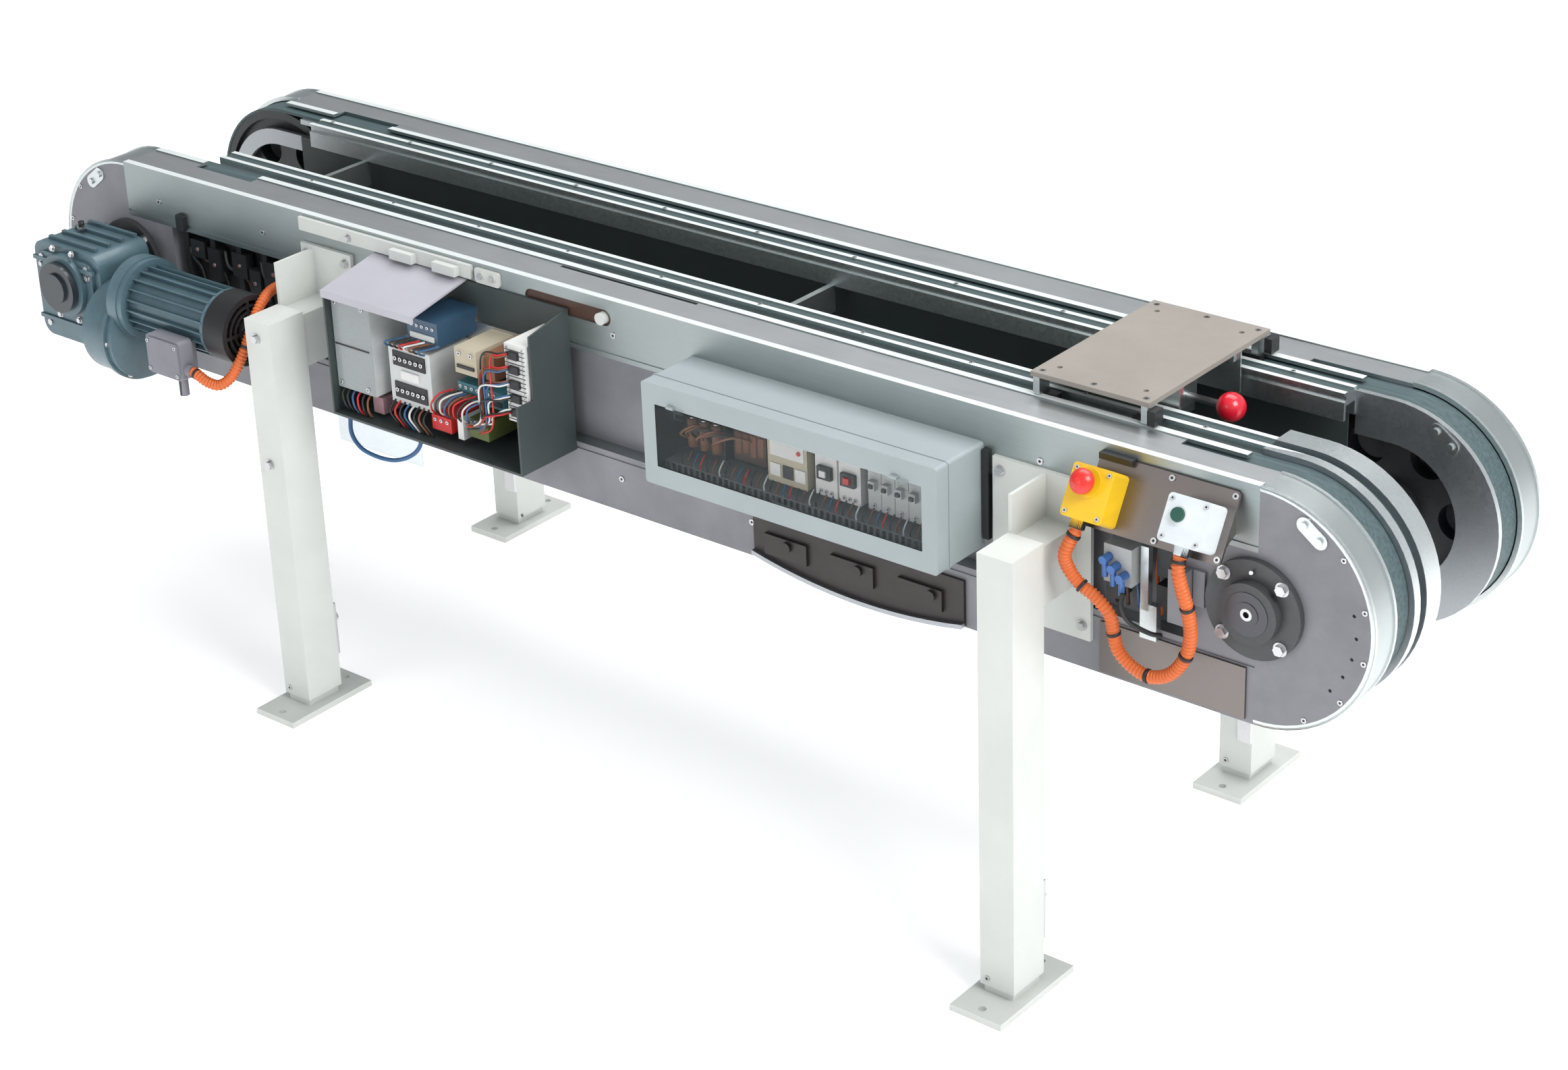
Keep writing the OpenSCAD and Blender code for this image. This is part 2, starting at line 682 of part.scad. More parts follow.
// Lid that slopes up to the rail, with a folded front edge
module terminal_lid() {
  lid_t = 4;
  color([0.84, 0.85, 0.88]) {
    extrude_x(tb_x0, lid_x1)
      polygon([[tb_y0, tb_z1], [-outer_y, tb_back_z], [-outer_y, tb_back_z + lid_t], [tb_y0, tb_z1 + lid_t]]);
    box(tb_x0, lid_x1, tb_y0 - lid_t, tb_y0, tb_z1 - 10, tb_z1 + lid_t);
  }
}
module terminal_parts() {
  back = -outer_y - 4;
  color([0.70, 0.73, 0.73, 0.6]) {
    box(-570, -479, -388, -384, 692, 868);
    box(-479, -473, -388, back, 692, 868);
  }
  color([0.80, 0.81, 0.80]) box(-448, -344, -372, back, 688, 800);
  color([0.12, 0.25, 0.40]) box(-398, -323, -368, back, 817, 862);
  color(beige) box(-282, -229, -370, back, 784, 832);
  color([0.55, 0.32, 0.20]) box(-226, -204, -352, back, 776, 826);
  color([0.10, 0.33, 0.42]) box(-283, -174, -366, back, 733, 765);
  color(white) box(-160, -112, -368, back, 722, 868);
  color(black) for (i = [0 : 4]) box(-148, -126, -374, -368, 734 + 27 * i, 748 + 27 * i);
  color([0.75, 0.06, 0.10]) box(-344, -296, -378, back, 662, 690);
  color(white) box(-280, -266, -378, back, 658, 696);
  color([0.30, 0.36, 0.16]) box(-254, -208, -374, back, 668, 704);
  color([0.62, 0.42, 0.46]) box(-500, -474, -372, back, 652, 684);
  color(steel) box(-568, -112, back - 8, back, 802, 837);
}

// Light bar and tabs that hang the terminal box on the top rail, and the cable slot's insert and sensor
module box_bracket() {
  color(white) {
    box(-772, -330, -outer_y - 8, -outer_y, tb_back_z + 6, top_z - 6);
    for (x = [-520, -412]) box(x, x + 56, -outer_y - 22, -outer_y - 8, tb_back_z + 8, top_z - 12);
    extrude_y(-outer_y - 5, -outer_y) round_rect(-322, -262, top_z - 36, top_z - 8, 6);
  }
  color(black) box(781, 793, -outer_y - 10, -outer_y, 723, 879);
  color(steel) for (x = [-640, -306, -278]) bolt_y(x, top_z - 21, -outer_y - 8 + (x > -330 ? 3 : 0), 6);
  color([0.16, 0.10, 0.08]) extrude_y(-outer_y + 4, -outer_y + 10) slot_outline();
  color(white) rod_y(-22, top_z - 36, -outer_y - 10, -outer_y + 4, 11);
}

// ---- operator boxes ----

// The two boxes sit on a plate that leans back by console_tilt. In its own frame the plate's front face
// is y = 0, x is the conveyor's x, and z = 0 is the middle of the plate.
console_tilt = 30;
console_y = -297;
console_z = 876;
module on_console() { translate([0, console_y, console_z]) rotate([-console_tilt, 0, 0]) children(); }
module switch_plate() {
  color([0.55, 0.52, 0.51]) {
    on_console() extrude_y(0, 4) round_rect(1000, 1246, -52, 62, 6);
    for (x = [1010, 1232]) extrude_x(x, x + 4)
      polygon([[-outer_y, 926], [-outer_y, 856], [-318, 832], [-266, 922]]);
  }
  color(black) box(1002, 1062, -outer_y - 14, -outer_y, 924, 934);
  color(alu_light) {
    box(1086, 1100, -outer_y - 24, -outer_y - 12, 696, 804);
    box(1078, 1108, -outer_y - 12, -outer_y, 640, 700);
  }
  color([0.50, 0.47, 0.46]) box(1000, 1262, -outer_y - 4, -outer_y, 552, 640);
}
// Emergency-stop box, its gland, and the button's place on its face
es_x0 = 986;
es_x1 = 1060;
es_z0 = -46;
es_z1 = 38;
es_d = 45;
es_x = 1019;
es_z = 11;
module estop_box() {
  on_console() {
    color([0.95, 0.72, 0.05]) difference() {
      extrude_y(-es_d, 0) round_rect(es_x0, es_x1, es_z0, es_z1, 7);
      rod_y(es_x, es_z, -es_d - 1, -es_d + 30, 11.3);
    }
    color(black) rod_z(1009, -22, es_z0 - 14, es_z0, 12.5);
  }
}
module estop_stem() { on_console() color(black) rod_y(es_x, es_z, -es_d - 16, -es_d + 18, 11); }
module estop_mushroom() {
  color([0.85, 0.10, 0.08]) on_console() translate([es_x, -es_d - 16, es_z]) rotate([90, 0, 0])
    rotate_extrude() intersection() {
      translate([0, -4]) circle(22.4);
      square([20, 18]);
    }
}
// Start box with its bezel and gland
st_x0 = 1159;
st_x1 = 1233;
st_z0 = -40;
st_z1 = 34;
st_d = 50;
st_x = 1185;
st_z = 4;
module start_box() {
  on_console() {
    color([0.86, 0.88, 0.88]) difference() {
      extrude_y(-st_d, 0) round_rect(st_x0, st_x1, st_z0, st_z1, 7);
      rod_y(st_x, st_z, -st_d - 1, -st_d + 30, 11.3);
    }
    color(black) difference() {
      rod_y(st_x, st_z, -st_d - 4, -st_d, 15);
      rod_y(st_x, st_z, -st_d - 5, -st_d + 1, 11.3);
    }
    color(black) rod_z(1192, -25, st_z0 - 14, st_z0, 12.5);
  }
}
module start_button() { color([0.05, 0.35, 0.22]) on_console() rod_y(st_x, st_z, -st_d - 8, -st_d + 16, 11); }
module air_fittings() {
  color(light_grey) box(1030, 1080, -outer_y - 40, -outer_y, 736, 800);
  color([0.20, 0.38, 0.66]) for (i = [0 : 2]) {
    rod_y(1040 + 15 * i, 780 - 12 * i, -outer_y - 60, -outer_y - 40, 7);
    rod_z(1040 + 15 * i, -outer_y - 52, 751 - 12 * i, 779 - 12 * i, 5);
  }
  color(disc_grey) box(1136, 1166, -outer_y - 26, -outer_y, 690, 780);
}

// ---- cables ----

// Round tube swept along a list of points, closed at both ends; ref is never in line with the route
module tube(points, r, sides, ref = [0, 1, 0]) {
  n = len(points);
  function unit(v) = v / norm(v);
  function heading(i) = unit(points[min(i + 1, n - 1)] - points[max(i - 1, 0)]);
  ring_points = [for (i = [0 : n - 1]) let (
      d = heading(i),
      side = unit(cross(d, ref)),
      up = cross(side, d))
    for (k = [0 : sides - 1]) points[i] + r * (cos(360 * k / sides) * side + sin(360 * k / sides) * up)];
  walls = [for (i = [0 : n - 2], k = [0 : sides - 1]) let (k2 = (k + 1) % sides)
    [i * sides + k, i * sides + k2, (i + 1) * sides + k2, (i + 1) * sides + k]];
  caps = [[for (k = [sides - 1 : -1 : 0]) k], [for (k = [0 : sides - 1]) (n - 1) * sides + k]];
  polyhedron(ring_points, concat(walls, caps));
}

// Hand-laid routes
conduit_route = [
  [1009, -346, 835], [1008, -350, 828], [1001, -355, 811], [994, -355, 790], [996, -348, 766], [1012, -342, 742],
  [1040, -338, 724], [1064, -336, 700], [1070, -334, 670], [1078, -334, 644], [1102, -334, 624],
  [1136, -334, 616], [1172, -334, 632], [1196, -332, 666], [1206, -334, 706], [1206, -342, 750],
  [1199, -351, 794], [1194, -353, 818], [1192, -349.2, 835.6], [1192, -345.7, 841.7]
];
motor_cable_route = [
  [-871, -475, 676], [-854, -475, 671], [-834, -473, 663], [-810, -466, 661], [-790, -453, 678],
  [-780, -434, 710], [-778, -412, 746], [-779, -392, 778], [-781, -368, 802], [-786, -340, 813],
  [-788, -306, 814]
];
blue_route = [
  [-554, -380, 640], [-556, -382, 622], [-552, -386, 604], [-539, -390, 590], [-518, -393, 580],
  [-490, -394, 576], [-462, -394, 576], [-434, -393, 580], [-408, -390, 590], [-388, -386, 604],
  [-377, -382, 620], [-373, -380, 640]
];
module orange_conduit() { color(orange) tube(conduit_route, 11, 10); }
module motor_cable() { color(orange) tube(motor_cable_route, 10.5, 10, [-1, -1, 1]); }
module blue_loop() { color([0.15, 0.32, 0.55]) tube(blue_route, 4, 8); }

// ---- belt tensioner under the enclosure, and the clear guard under the terminal box ----

// Plate with a long arc along its lower edge; rise lifts the arc
module tensioner_outline(rise) {
  arc_r = 1000;
  intersection() {
    translate([302, 528]) square([438, 104]);
    translate([540, 528 + arc_r + rise]) circle(arc_r, $fn = 256);
  }
}
module tensioner() {
  color([0.13, 0.10, 0.10]) {
    extrude_y(-outer_y - 6, -outer_y) tensioner_outline(0);
    for (x = [330, 470, 610]) box(x, x + 90, -outer_y - 12, -outer_y - 6, 566, 604);
  }
  color(disc_grey) {
    extrude_y(-outer_y - 14, -outer_y - 6) difference() {
      tensioner_outline(0);
      tensioner_outline(8);
    }
    for (x = [380, 530, 680]) rod_y(x, 592, -outer_y - 18, -outer_y - 12, 9);
  }
  color([0.78, 0.86, 0.90, 0.5]) box(-720, -500, -outer_y - 5, -outer_y, 500, tb_z0 - 1);
}

// ---- carrier ----

c0 = carrier_x - carrier_l / 2;
c1 = carrier_x + carrier_l / 2;
plate_t = 8;
latch_z = 923;
module carrier_plate() {
  color([0.55, 0.53, 0.50]) difference() {
    box(c0, c1, -carrier_w / 2, carrier_w / 2, carrier_top - plate_t, carrier_top);
    for (dx = [-80, 80], y = [-140, 140]) rod_z(carrier_x + dx, y, 900, 1000, 4.5);
  }
}
module carrier_frame() {
  shoe_y0 = -rail_in_y + 2;
  shoe_w = 16;
  belt_top = axle_z + belt_r;
  under = carrier_top - plate_t;
  color(alu_light) {
    both_sides() {
      for (x = [c0 + 4, c1 - 16]) {
        box(x, x + 12, -carrier_w / 2 + 2, shoe_y0 + shoe_w, top_z + 1.5, under);
      }
      box(c0 + 4, c1, -inner_y + 6, -inner_y + 10, top_z - 41, under);
      box(c0 + 4, c1 - 4, -inner_y + 10, -inner_y + 24, under - 14, under);
    }
    difference() {
      box(c1 - 60, c1 - 40, -24, 24, latch_z - 16, under);
      rod_x(0, latch_z, c1 - 70, c1 - 30, 6.05);
    }
  }
  color(black) both_sides() {
    for (x = [c0, c1 - 40]) box(x, x + 40, shoe_y0, shoe_y0 + shoe_w, belt_top + run_gap, top_z + 1.5);
    box(c1, c1 + 14, -belt_mid_y - 12, -belt_mid_y + 12, top_z + 4, under - 2);
  }
}
module latch_knob() {
  color(steel) rod_x(0, latch_z, c1 - 84, c1 + 20, 6);
  color([0.82, 0.08, 0.10]) translate([c1 + 38, 0, latch_z]) sphere(24);
}

near_rails();
far_rails();
near_web_panel();
far_web_panel();
near_end_discs();
far_end_discs();
near_end_rims();
far_end_rims();
near_inner_guide();
far_inner_guide();
slider_beds();
near_belt();
far_belt();
end_blocks();
bearing_housings();
bearing_inserts();
bearing_bolts();
screw_plates();
cross_beams();
channel_ties();
near_left_leg();
near_right_leg();
far_left_leg();
far_right_leg();
feet();
leg_brackets();
leg_bolts();
gearbox_housing();
gearbox_cover();
gearbox_adapter();
motor_housing();
fan_cover();
motor_terminal_box();
drive_brackets();
drive_shaft();
drive_pulleys();
tail_shaft();
tail_pulleys();
motor_rotor();
enclosure_shell();
enclosure_window();
enclosure_modules();
terminal_box();
terminal_lid();
terminal_parts();
box_bracket();
estop_box();
estop_stem();
estop_mushroom();
start_box();
start_button();
switch_plate();
air_fittings();
orange_conduit();
motor_cable();
blue_loop();
tensioner();
carrier_plate();
carrier_frame();
latch_knob();
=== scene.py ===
import math
import random
from collections import namedtuple

import bmesh
import bpy
from mathutils import Euler, Matrix, Vector


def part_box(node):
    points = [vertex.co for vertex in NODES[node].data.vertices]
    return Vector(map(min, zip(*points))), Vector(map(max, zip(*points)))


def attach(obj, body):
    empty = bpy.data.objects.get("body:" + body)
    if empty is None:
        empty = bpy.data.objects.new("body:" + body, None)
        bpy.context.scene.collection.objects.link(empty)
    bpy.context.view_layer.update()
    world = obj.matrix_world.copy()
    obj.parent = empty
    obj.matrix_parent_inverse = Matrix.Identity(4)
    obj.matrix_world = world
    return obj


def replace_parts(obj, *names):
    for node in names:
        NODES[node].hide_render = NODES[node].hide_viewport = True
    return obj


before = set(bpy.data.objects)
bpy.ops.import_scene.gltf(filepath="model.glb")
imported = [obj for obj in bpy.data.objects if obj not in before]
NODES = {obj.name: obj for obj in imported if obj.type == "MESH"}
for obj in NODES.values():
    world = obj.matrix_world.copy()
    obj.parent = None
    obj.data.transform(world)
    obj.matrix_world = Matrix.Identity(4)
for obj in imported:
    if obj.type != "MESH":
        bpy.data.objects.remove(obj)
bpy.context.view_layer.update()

MM = 0.001
scene = bpy.context.scene
rng = random.Random(7)

# ---- camera ----

cam_data = bpy.data.cameras.new("Camera")
camera = bpy.data.objects.new("Camera", cam_data)
scene.collection.objects.link(camera)
camera.location = (3.3563, -3.8401, 2.9245)
camera.rotation_euler = Euler([math.radians(a) for a in (65.949, 1.926, 38.951)])
cam_data.sensor_width = 36
cam_data.lens = 71.14
cam_data.shift_y = -0.083
cam_data.clip_start = 0.1
cam_data.clip_end = 60
scene.camera = camera


# ---- materials ----

class Graph:
    """Short names for building one node material."""

    def __init__(self, name):
        self.material = bpy.data.materials.new(name)
        self.material.use_nodes = True
        self.tree = self.material.node_tree
        self.shader = self.tree.nodes["Principled BSDF"]
        self.where = self.add("ShaderNodeTexCoord").outputs["Object"]

    def add(self, kind, **values):
        made = self.tree.nodes.new(kind)
        for key, value in values.items():
            if key in made.inputs:
                made.inputs[key].default_value = value
            else:
                setattr(made, key, value)
        return made

    def link(self, source, target):
        self.tree.links.new(source, target)

    def scaled(self, x, y, z):
        made = self.add("ShaderNodeMapping")
        made.inputs["Scale"].default_value = (x, y, z)
        self.link(self.where, made.inputs["Vector"])
        return made.outputs["Vector"]

    def noise(self, vector, scale, detail=3.0, rough=0.5):
        made = self.add("ShaderNodeTexNoise", Scale=scale, Detail=detail, Roughness=rough)
        self.link(vector, made.inputs["Vector"])
        return made.outputs["Fac"]

    def ramp(self, source, stops):
        made = self.add("ShaderNodeValToRGB")
        ramp = made.color_ramp
        while len(ramp.elements) < len(stops):
            ramp.elements.new(0.5)
        for element, (place, color) in zip(ramp.elements, stops):
            element.position = place
            element.color = (*color, 1) if len(color) == 3 else color
        self.link(source, made.inputs["Fac"])
        return made.outputs["Color"]

    def spread(self, source, low, high):
        made = self.add("ShaderNodeMapRange")
        made.inputs["To Min"].default_value = low
        made.inputs["To Max"].default_value = high
        self.link(source, made.inputs["Value"])
        return made.outputs["Result"]

    def mix(self, factor, a, b, blend="MIX"):
        made = self.add("ShaderNodeMix", data_type="RGBA", blend_type=blend)
        for source, socket in ((factor, made.inputs["Factor"]), (a, made.inputs["A"]), (b, made.inputs["B"])):
            if isinstance(source, (int, float)):
                socket.default_value = source
            elif isinstance(source, tuple):
                socket.default_value = (*source, 1)
            else:
                self.link(source, socket)
        return made.outputs["Result"]

    def bump(self, heights):
        """heights: [(height socket, distance in metres), ...]"""
        last = None
        for height, distance in heights:
            made = self.add("ShaderNodeBump", Strength=1.0, Distance=distance)
            self.link(height, made.inputs["Height"])
            if last is not None:
                self.link(last, made.inputs["Normal"])
            last = made.outputs["Normal"]
        self.link(last, self.shader.inputs["Normal"])

    def set(self, **values):
        for key, value in values.items():
            self.shader.inputs[key.replace("_", " ")].default_value = value


def shade(color, factor):
    return tuple(min(1.0, c * factor) for c in color)


def paint(name, color, rough=0.45, grain=900.0, peel=0.00010, vary=0.10, recess_shade_strength=0.35, coat=0.0):
    """Sprayed or powder-coated metal: fine orange peel, cloudy tone, and painted shade that darkens the
    corners and recesses, mottled by noise.
    """
    g = Graph(name)
    clouds = g.noise(g.where, 7.0, 5.0, 0.6)
    fine = g.noise(g.where, grain, 2.0)
    smudge = g.noise(g.scaled(3, 3, 9), 9.0, 6.0, 0.65)
    base = g.ramp(clouds, [(0.30, shade(color, 1 - vary)), (0.70, shade(color, 1 + vary))])
    # Painted shade: ambient occlusion darkens the base colour in corners and recesses, mottled by the smudge
    # noise.
    occlusion = g.add("ShaderNodeAmbientOcclusion", samples=4)
    occlusion.inputs["Distance"].default_value = 0.035
    recess_shade = g.ramp(occlusion.outputs["AO"], [(0.25, (recess_shade_strength, recess_shade_strength, recess_shade_strength)), (0.80, (0, 0, 0))])
    mottled_recess_shade = g.mix(g.spread(smudge, 0.3, 1.0), (0.0, 0.0, 0.0), recess_shade)
    g.link(g.mix(mottled_recess_shade, base, shade(color, 0.38)), g.shader.inputs["Base Color"])
    g.link(g.spread(smudge, rough - 0.10, rough + 0.14), g.shader.inputs["Roughness"])
    g.bump([(fine, peel), (clouds, peel * 3)])
    if coat:
        g.set(Coat_Weight=coat, Coat_Roughness=0.12)
    return g.material


def metal(name, color, rough=0.35, streak=(2, 160, 160), vary=0.10, depth=0.00004):
    """Drawn, extruded or brushed metal: streaks along one direction and cloudy anodising."""
    g = Graph(name)
    g.set(Metallic=1.0)
    lines = g.noise(g.scaled(*streak), 6.0, 3.0, 0.6)
    clouds = g.noise(g.where, 4.0, 5.0, 0.6)
    tone = g.mix(0.5, lines, clouds)
    g.link(g.ramp(tone, [(0.32, shade(color, 1 - vary)), (0.68, shade(color, 1 + vary))]),
           g.shader.inputs["Base Color"])
    g.link(g.spread(lines, rough - 0.08, rough + 0.12), g.shader.inputs["Roughness"])
    g.bump([(lines, depth)])
    return g.material


def plastic(name, color, rough=0.4, grain=1400.0, depth=0.00006, vary=0.06, coat=0.0):
    """Moulded plastic: spark-eroded grain, faint flow marks and handling shine."""
    g = Graph(name)
    flow = g.noise(g.scaled(1, 1, 3), 14.0, 4.0, 0.6)
    fine = g.noise(g.where, grain, 1.0)
    g.link(g.ramp(flow, [(0.3, shade(color, 1 - vary)), (0.7, shade(color, 1 + vary))]),
           g.shader.inputs["Base Color"])
    g.link(g.spread(flow, rough - 0.08, rough + 0.10), g.shader.inputs["Roughness"])
    g.bump([(fine, depth)])
    if coat:
        g.set(Coat_Weight=coat, Coat_Roughness=0.08)
    return g.material


def cast(name, color, rough=0.42, coat=0.15):
    """Enamel over a sand casting: coarse pits under a glossy skin, with dust on it, and painted shade that
    darkens its recesses.
    """
    g = Graph(name)
    coarse = g.noise(g.where, 260.0, 4.0, 0.6)
    clouds = g.noise(g.where, 11.0, 5.0, 0.6)
    tone = g.ramp(clouds, [(0.28, shade(color, 0.78)), (0.55, color), (0.78, shade(color, 1.25))])
    # Painted shade: ambient occlusion darkens the enamel towards a third of its colour in recesses.
    occlusion = g.add("ShaderNodeAmbientOcclusion", samples=4)
    occlusion.inputs["Distance"].default_value = 0.03
    recess_shade = g.ramp(occlusion.outputs["AO"], [(0.2, (0.6, 0.6, 0.6)), (0.8, (0, 0, 0))])
    g.link(g.mix(recess_shade, tone, shade(color, 0.35)), g.shader.inputs["Base Color"])
    g.link(g.spread(coarse, rough - 0.06, rough + 0.18), g.shader.inputs["Roughness"])
    g.bump([(coarse, 0.0005), (clouds, 0.0008)])
    g.set(Coat_Weight=coat, Coat_Roughness=0.2)
    return g.material


def belt_fabric(name, color):
    """Belt cover: a fine woven impression with worn, paler tracks along its length."""
    g = Graph(name)
    warp = g.add("ShaderNodeTexWave", Scale=420.0, Distortion=0.4, bands_direction="Y")
    weft = g.add("ShaderNodeTexWave", Scale=300.0, Distortion=0.4, bands_direction="X")
    for wave in (warp, weft):
        g.link(g.where, wave.inputs["Vector"])
    weave = g.mix(0.5, warp.outputs["Fac"], weft.outputs["Fac"])
    wear = g.noise(g.scaled(1.5, 90, 90), 2.0, 4.0, 0.6)
    g.link(g.ramp(wear, [(0.3, shade(color, 0.75)), (0.72, shade(color, 1.5))]),
           g.shader.inputs["Base Color"])
    g.link(g.spread(wear, 0.62, 0.42), g.shader.inputs["Roughness"])
    g.bump([(weave, 0.0002)])
    return g.material


def clear(name, color, alpha):
    """Clear sheet: faint scratches and a little haze."""
    g = Graph(name)
    scratches = g.noise(g.scaled(12, 3, 300), 5.0, 5.0, 0.7)
    g.link(g.ramp(scratches, [(0.3, shade(color, 0.9)), (0.8, color)]), g.shader.inputs["Base Color"])
    g.link(g.spread(scratches, 0.03, 0.16), g.shader.inputs["Roughness"])
    g.link(g.spread(scratches, alpha - 0.06, alpha + 0.08), g.shader.inputs["Alpha"])
    g.set(IOR=1.49)
    return g.material


M = {
    "rail": metal("rail_aluminium", (0.50, 0.54, 0.54), 0.38),
    "rail_face_shaded": metal("rail_face_shaded", (0.36, 0.40, 0.40), 0.40),
    "band": metal("rail_band", (0.50, 0.52, 0.53), 0.42),
    "groove": paint("groove_shadow", (0.055, 0.085, 0.09), 0.6, vary=0.05, recess_shade_strength=0.2),
    "bright": metal("bright_aluminium", (0.66, 0.70, 0.70), 0.32, (40, 40, 40)),
    "lip": paint("bright_lip", (0.70, 0.74, 0.73), 0.3, vary=0.05, recess_shade_strength=0.1),
    "ring": metal("ring_grey", (0.40, 0.42, 0.44), 0.40, (40, 40, 40)),
    "grey": paint("grey_paint", (0.22, 0.22, 0.24), 0.45, vary=0.16),
    "belt": belt_fabric("belt_teal", (0.062, 0.098, 0.105)),
    "black": cast("black_casting", (0.018, 0.019, 0.021), 0.38),
    "hub": cast("hub_grey", (0.055, 0.058, 0.062), 0.36),
    "black_plastic": plastic("black_plastic", (0.015, 0.015, 0.017), 0.45),
    "steel": metal("bright_steel", (0.60, 0.60, 0.61), 0.30, (60, 60, 60)),
    "dark_steel": metal("dark_steel", (0.10, 0.10, 0.11), 0.34, (60, 60, 60)),
    "white": paint("white_paint", (0.64, 0.66, 0.63), 0.42, vary=0.04),
    "gearmotor": cast("gearmotor_paint", (0.085, 0.150, 0.180), 0.34, 0.4),
    "cover": plastic("black_cover", (0.02, 0.028, 0.035), 0.3, coat=0.4),
    "motor_box": paint("motor_box_grey", (0.22, 0.22, 0.25), 0.5),
    "enclosure": paint("enclosure_grey", (0.35, 0.40, 0.41), 0.36, vary=0.04),
    "window": clear("clear_window", (0.20, 0.24, 0.25), 0.07),
    "duct": plastic("duct_grey", (0.19, 0.20, 0.21), 0.5),
    "module_white": plastic("module_white", (0.70, 0.70, 0.68), 0.42),
    "module_grey": plastic("module_grey", (0.46, 0.48, 0.48), 0.42),
    "relay": plastic("relay_grey", (0.56, 0.58, 0.57), 0.38, coat=0.2),
    "relay_top": plastic("relay_top_blue", (0.03, 0.075, 0.13), 0.35, coat=0.2),
    "teal_part": plastic("teal_part", (0.035, 0.14, 0.17), 0.4),
    "brown": plastic("brown_part", (0.23, 0.10, 0.05), 0.45),
    "dark_brown": plastic("dark_brown_part", (0.075, 0.035, 0.025), 0.5),
    "pink": plastic("pink_part", (0.33, 0.20, 0.22), 0.5),
    "olive": plastic("olive_part", (0.10, 0.13, 0.035), 0.5),
    "cover_clear": clear("grey_clear_cover", (0.50, 0.54, 0.54), 0.55),
    "dark_sheet": paint("dark_sheet", (0.045, 0.058, 0.058), 0.45),
    "dark_frame": paint("tensioner_dark", (0.030, 0.022, 0.022), 0.45),
    "lid": paint("lid_lilac", (0.46, 0.45, 0.50), 0.35, vary=0.04),
    "yellow": plastic("estop_yellow", (0.85, 0.52, 0.01), 0.34, coat=0.2),
    "red": plastic("estop_red", (0.72, 0.025, 0.018), 0.28, coat=0.3),
    "box_white": plastic("box_white", (0.70, 0.75, 0.77), 0.38),
    "green": plastic("button_green", (0.006, 0.075, 0.05), 0.3, coat=0.3),
    "switch_plate": metal("switch_plate_grey", (0.22, 0.195, 0.185), 0.36, (120, 2, 120)),
    "blue": plastic("fitting_blue", (0.05, 0.16, 0.45), 0.3, coat=0.2),
    "orange": plastic("conduit_orange", (0.66, 0.14, 0.03), 0.45),
    "cable_blue": plastic("cable_blue", (0.035, 0.11, 0.24), 0.42),
    "carrier": paint("carrier_brown", (0.30, 0.27, 0.24), 0.55, grain=500.0, peel=0.0002, vary=0.08),
    "knob": plastic("knob_red", (0.70, 0.01, 0.03), 0.22, coat=0.5),
    "beige": plastic("beige_plastic", (0.47, 0.42, 0.31), 0.45),
    "clear_guard": clear("clear_guard", (0.72, 0.84, 0.92), 0.35),
    "wire_red": plastic("wire_red", (0.55, 0.02, 0.02), 0.4),
    "wire_black": plastic("wire_black", (0.02, 0.02, 0.02), 0.4),
    "wire_white": plastic("wire_white", (0.70, 0.70, 0.68), 0.4),
    "wire_brown": plastic("wire_brown", (0.20, 0.07, 0.03), 0.4),
}


# ---- places, in mm, from the CAD ----

Place = namedtuple("Place", "x y z")


def corners(node):
    """Lowest and highest corner, in full precision: a 32-bit Vector would shift faces that lie flush."""
    return [Place(*(value / MM for value in corner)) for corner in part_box(node)]


def middle(node):
    return Place(*((low + high) / 2 for low, high in zip(*corners(node))))


def row(first, pitch, count):
    return [first + pitch * i for i in range(count)]


def on_circle(radius, degrees):
    return radius * math.cos(math.radians(degrees)), radius * math.sin(math.radians(degrees))


rail_low, rail_high = corners("near_rails")
TOP = rail_high.z
OUTER = -rail_low.y
AXLE_X = rail_high.x
END_R = 200
AXLE_Z = TOP - END_R
RING_X = 1210            # the guides' straight strips end here and their half rings begin
GUIDE_H = 48
MOTOR = middle("motor_rotor")
CARRIER = middle("carrier_plate")
CARRIER_EDGE = corners("carrier_plate")[1].x
NEAR = (0, -1, 0)        # outward on the operator's side
FAR = (0, 1, 0)

# ---- looks of the CAD nodes ----

NODE_LOOKS = {
    "rail": ("near_rails", "far_rails", "slider_beds", "cross_beams", "channel_ties"),
    "bright": ("near_end_rims", "far_end_rims", "near_inner_guide", "far_inner_guide",
               "screw_plates", "carrier_frame"),
    "grey": ("near_web_panel", "far_web_panel", "near_end_discs", "far_end_discs", "end_blocks"),
    "belt": ("near_belt", "far_belt"),
    "black": ("drive_pulleys", "tail_pulleys", "drive_brackets"),
    "hub": ("bearing_housings",),
    "black_plastic": ("fan_cover", "estop_stem"),
    "steel": ("bearing_bolts", "leg_bolts", "motor_rotor", "latch_knob"),
    "dark_steel": ("drive_shaft", "tail_shaft", "bearing_inserts"),
    "white": ("near_left_leg", "near_right_leg", "far_left_leg", "far_right_leg",
              "feet", "leg_brackets", "box_bracket"),
    "gearmotor": ("gearbox_housing", "gearbox_adapter", "motor_housing"),
    "cover": ("gearbox_cover",),
    "motor_box": ("motor_terminal_box",),
    "enclosure": ("enclosure_shell",),
    "window": ("enclosure_window",),
    "module_grey": ("enclosure_modules",),
    "relay": ("terminal_parts",),
    "dark_sheet": ("terminal_box",),
    "dark_frame": ("tensioner",),
    "lid": ("terminal_lid",),
    "yellow": ("estop_box",),
    "red": ("estop_mushroom",),
    "box_white": ("start_box",),
    "green": ("start_button",),
    "switch_plate": ("switch_plate",),
    "blue": ("air_fittings",),
    "orange": ("orange_conduit", "motor_cable"),
    "cable_blue": ("blue_loop",),
    "carrier": ("carrier_plate",),
}
for look, names in NODE_LOOKS.items():
    for name in names:
        NODES[name].data.materials.clear()
        NODES[name].data.materials.append(M[look])


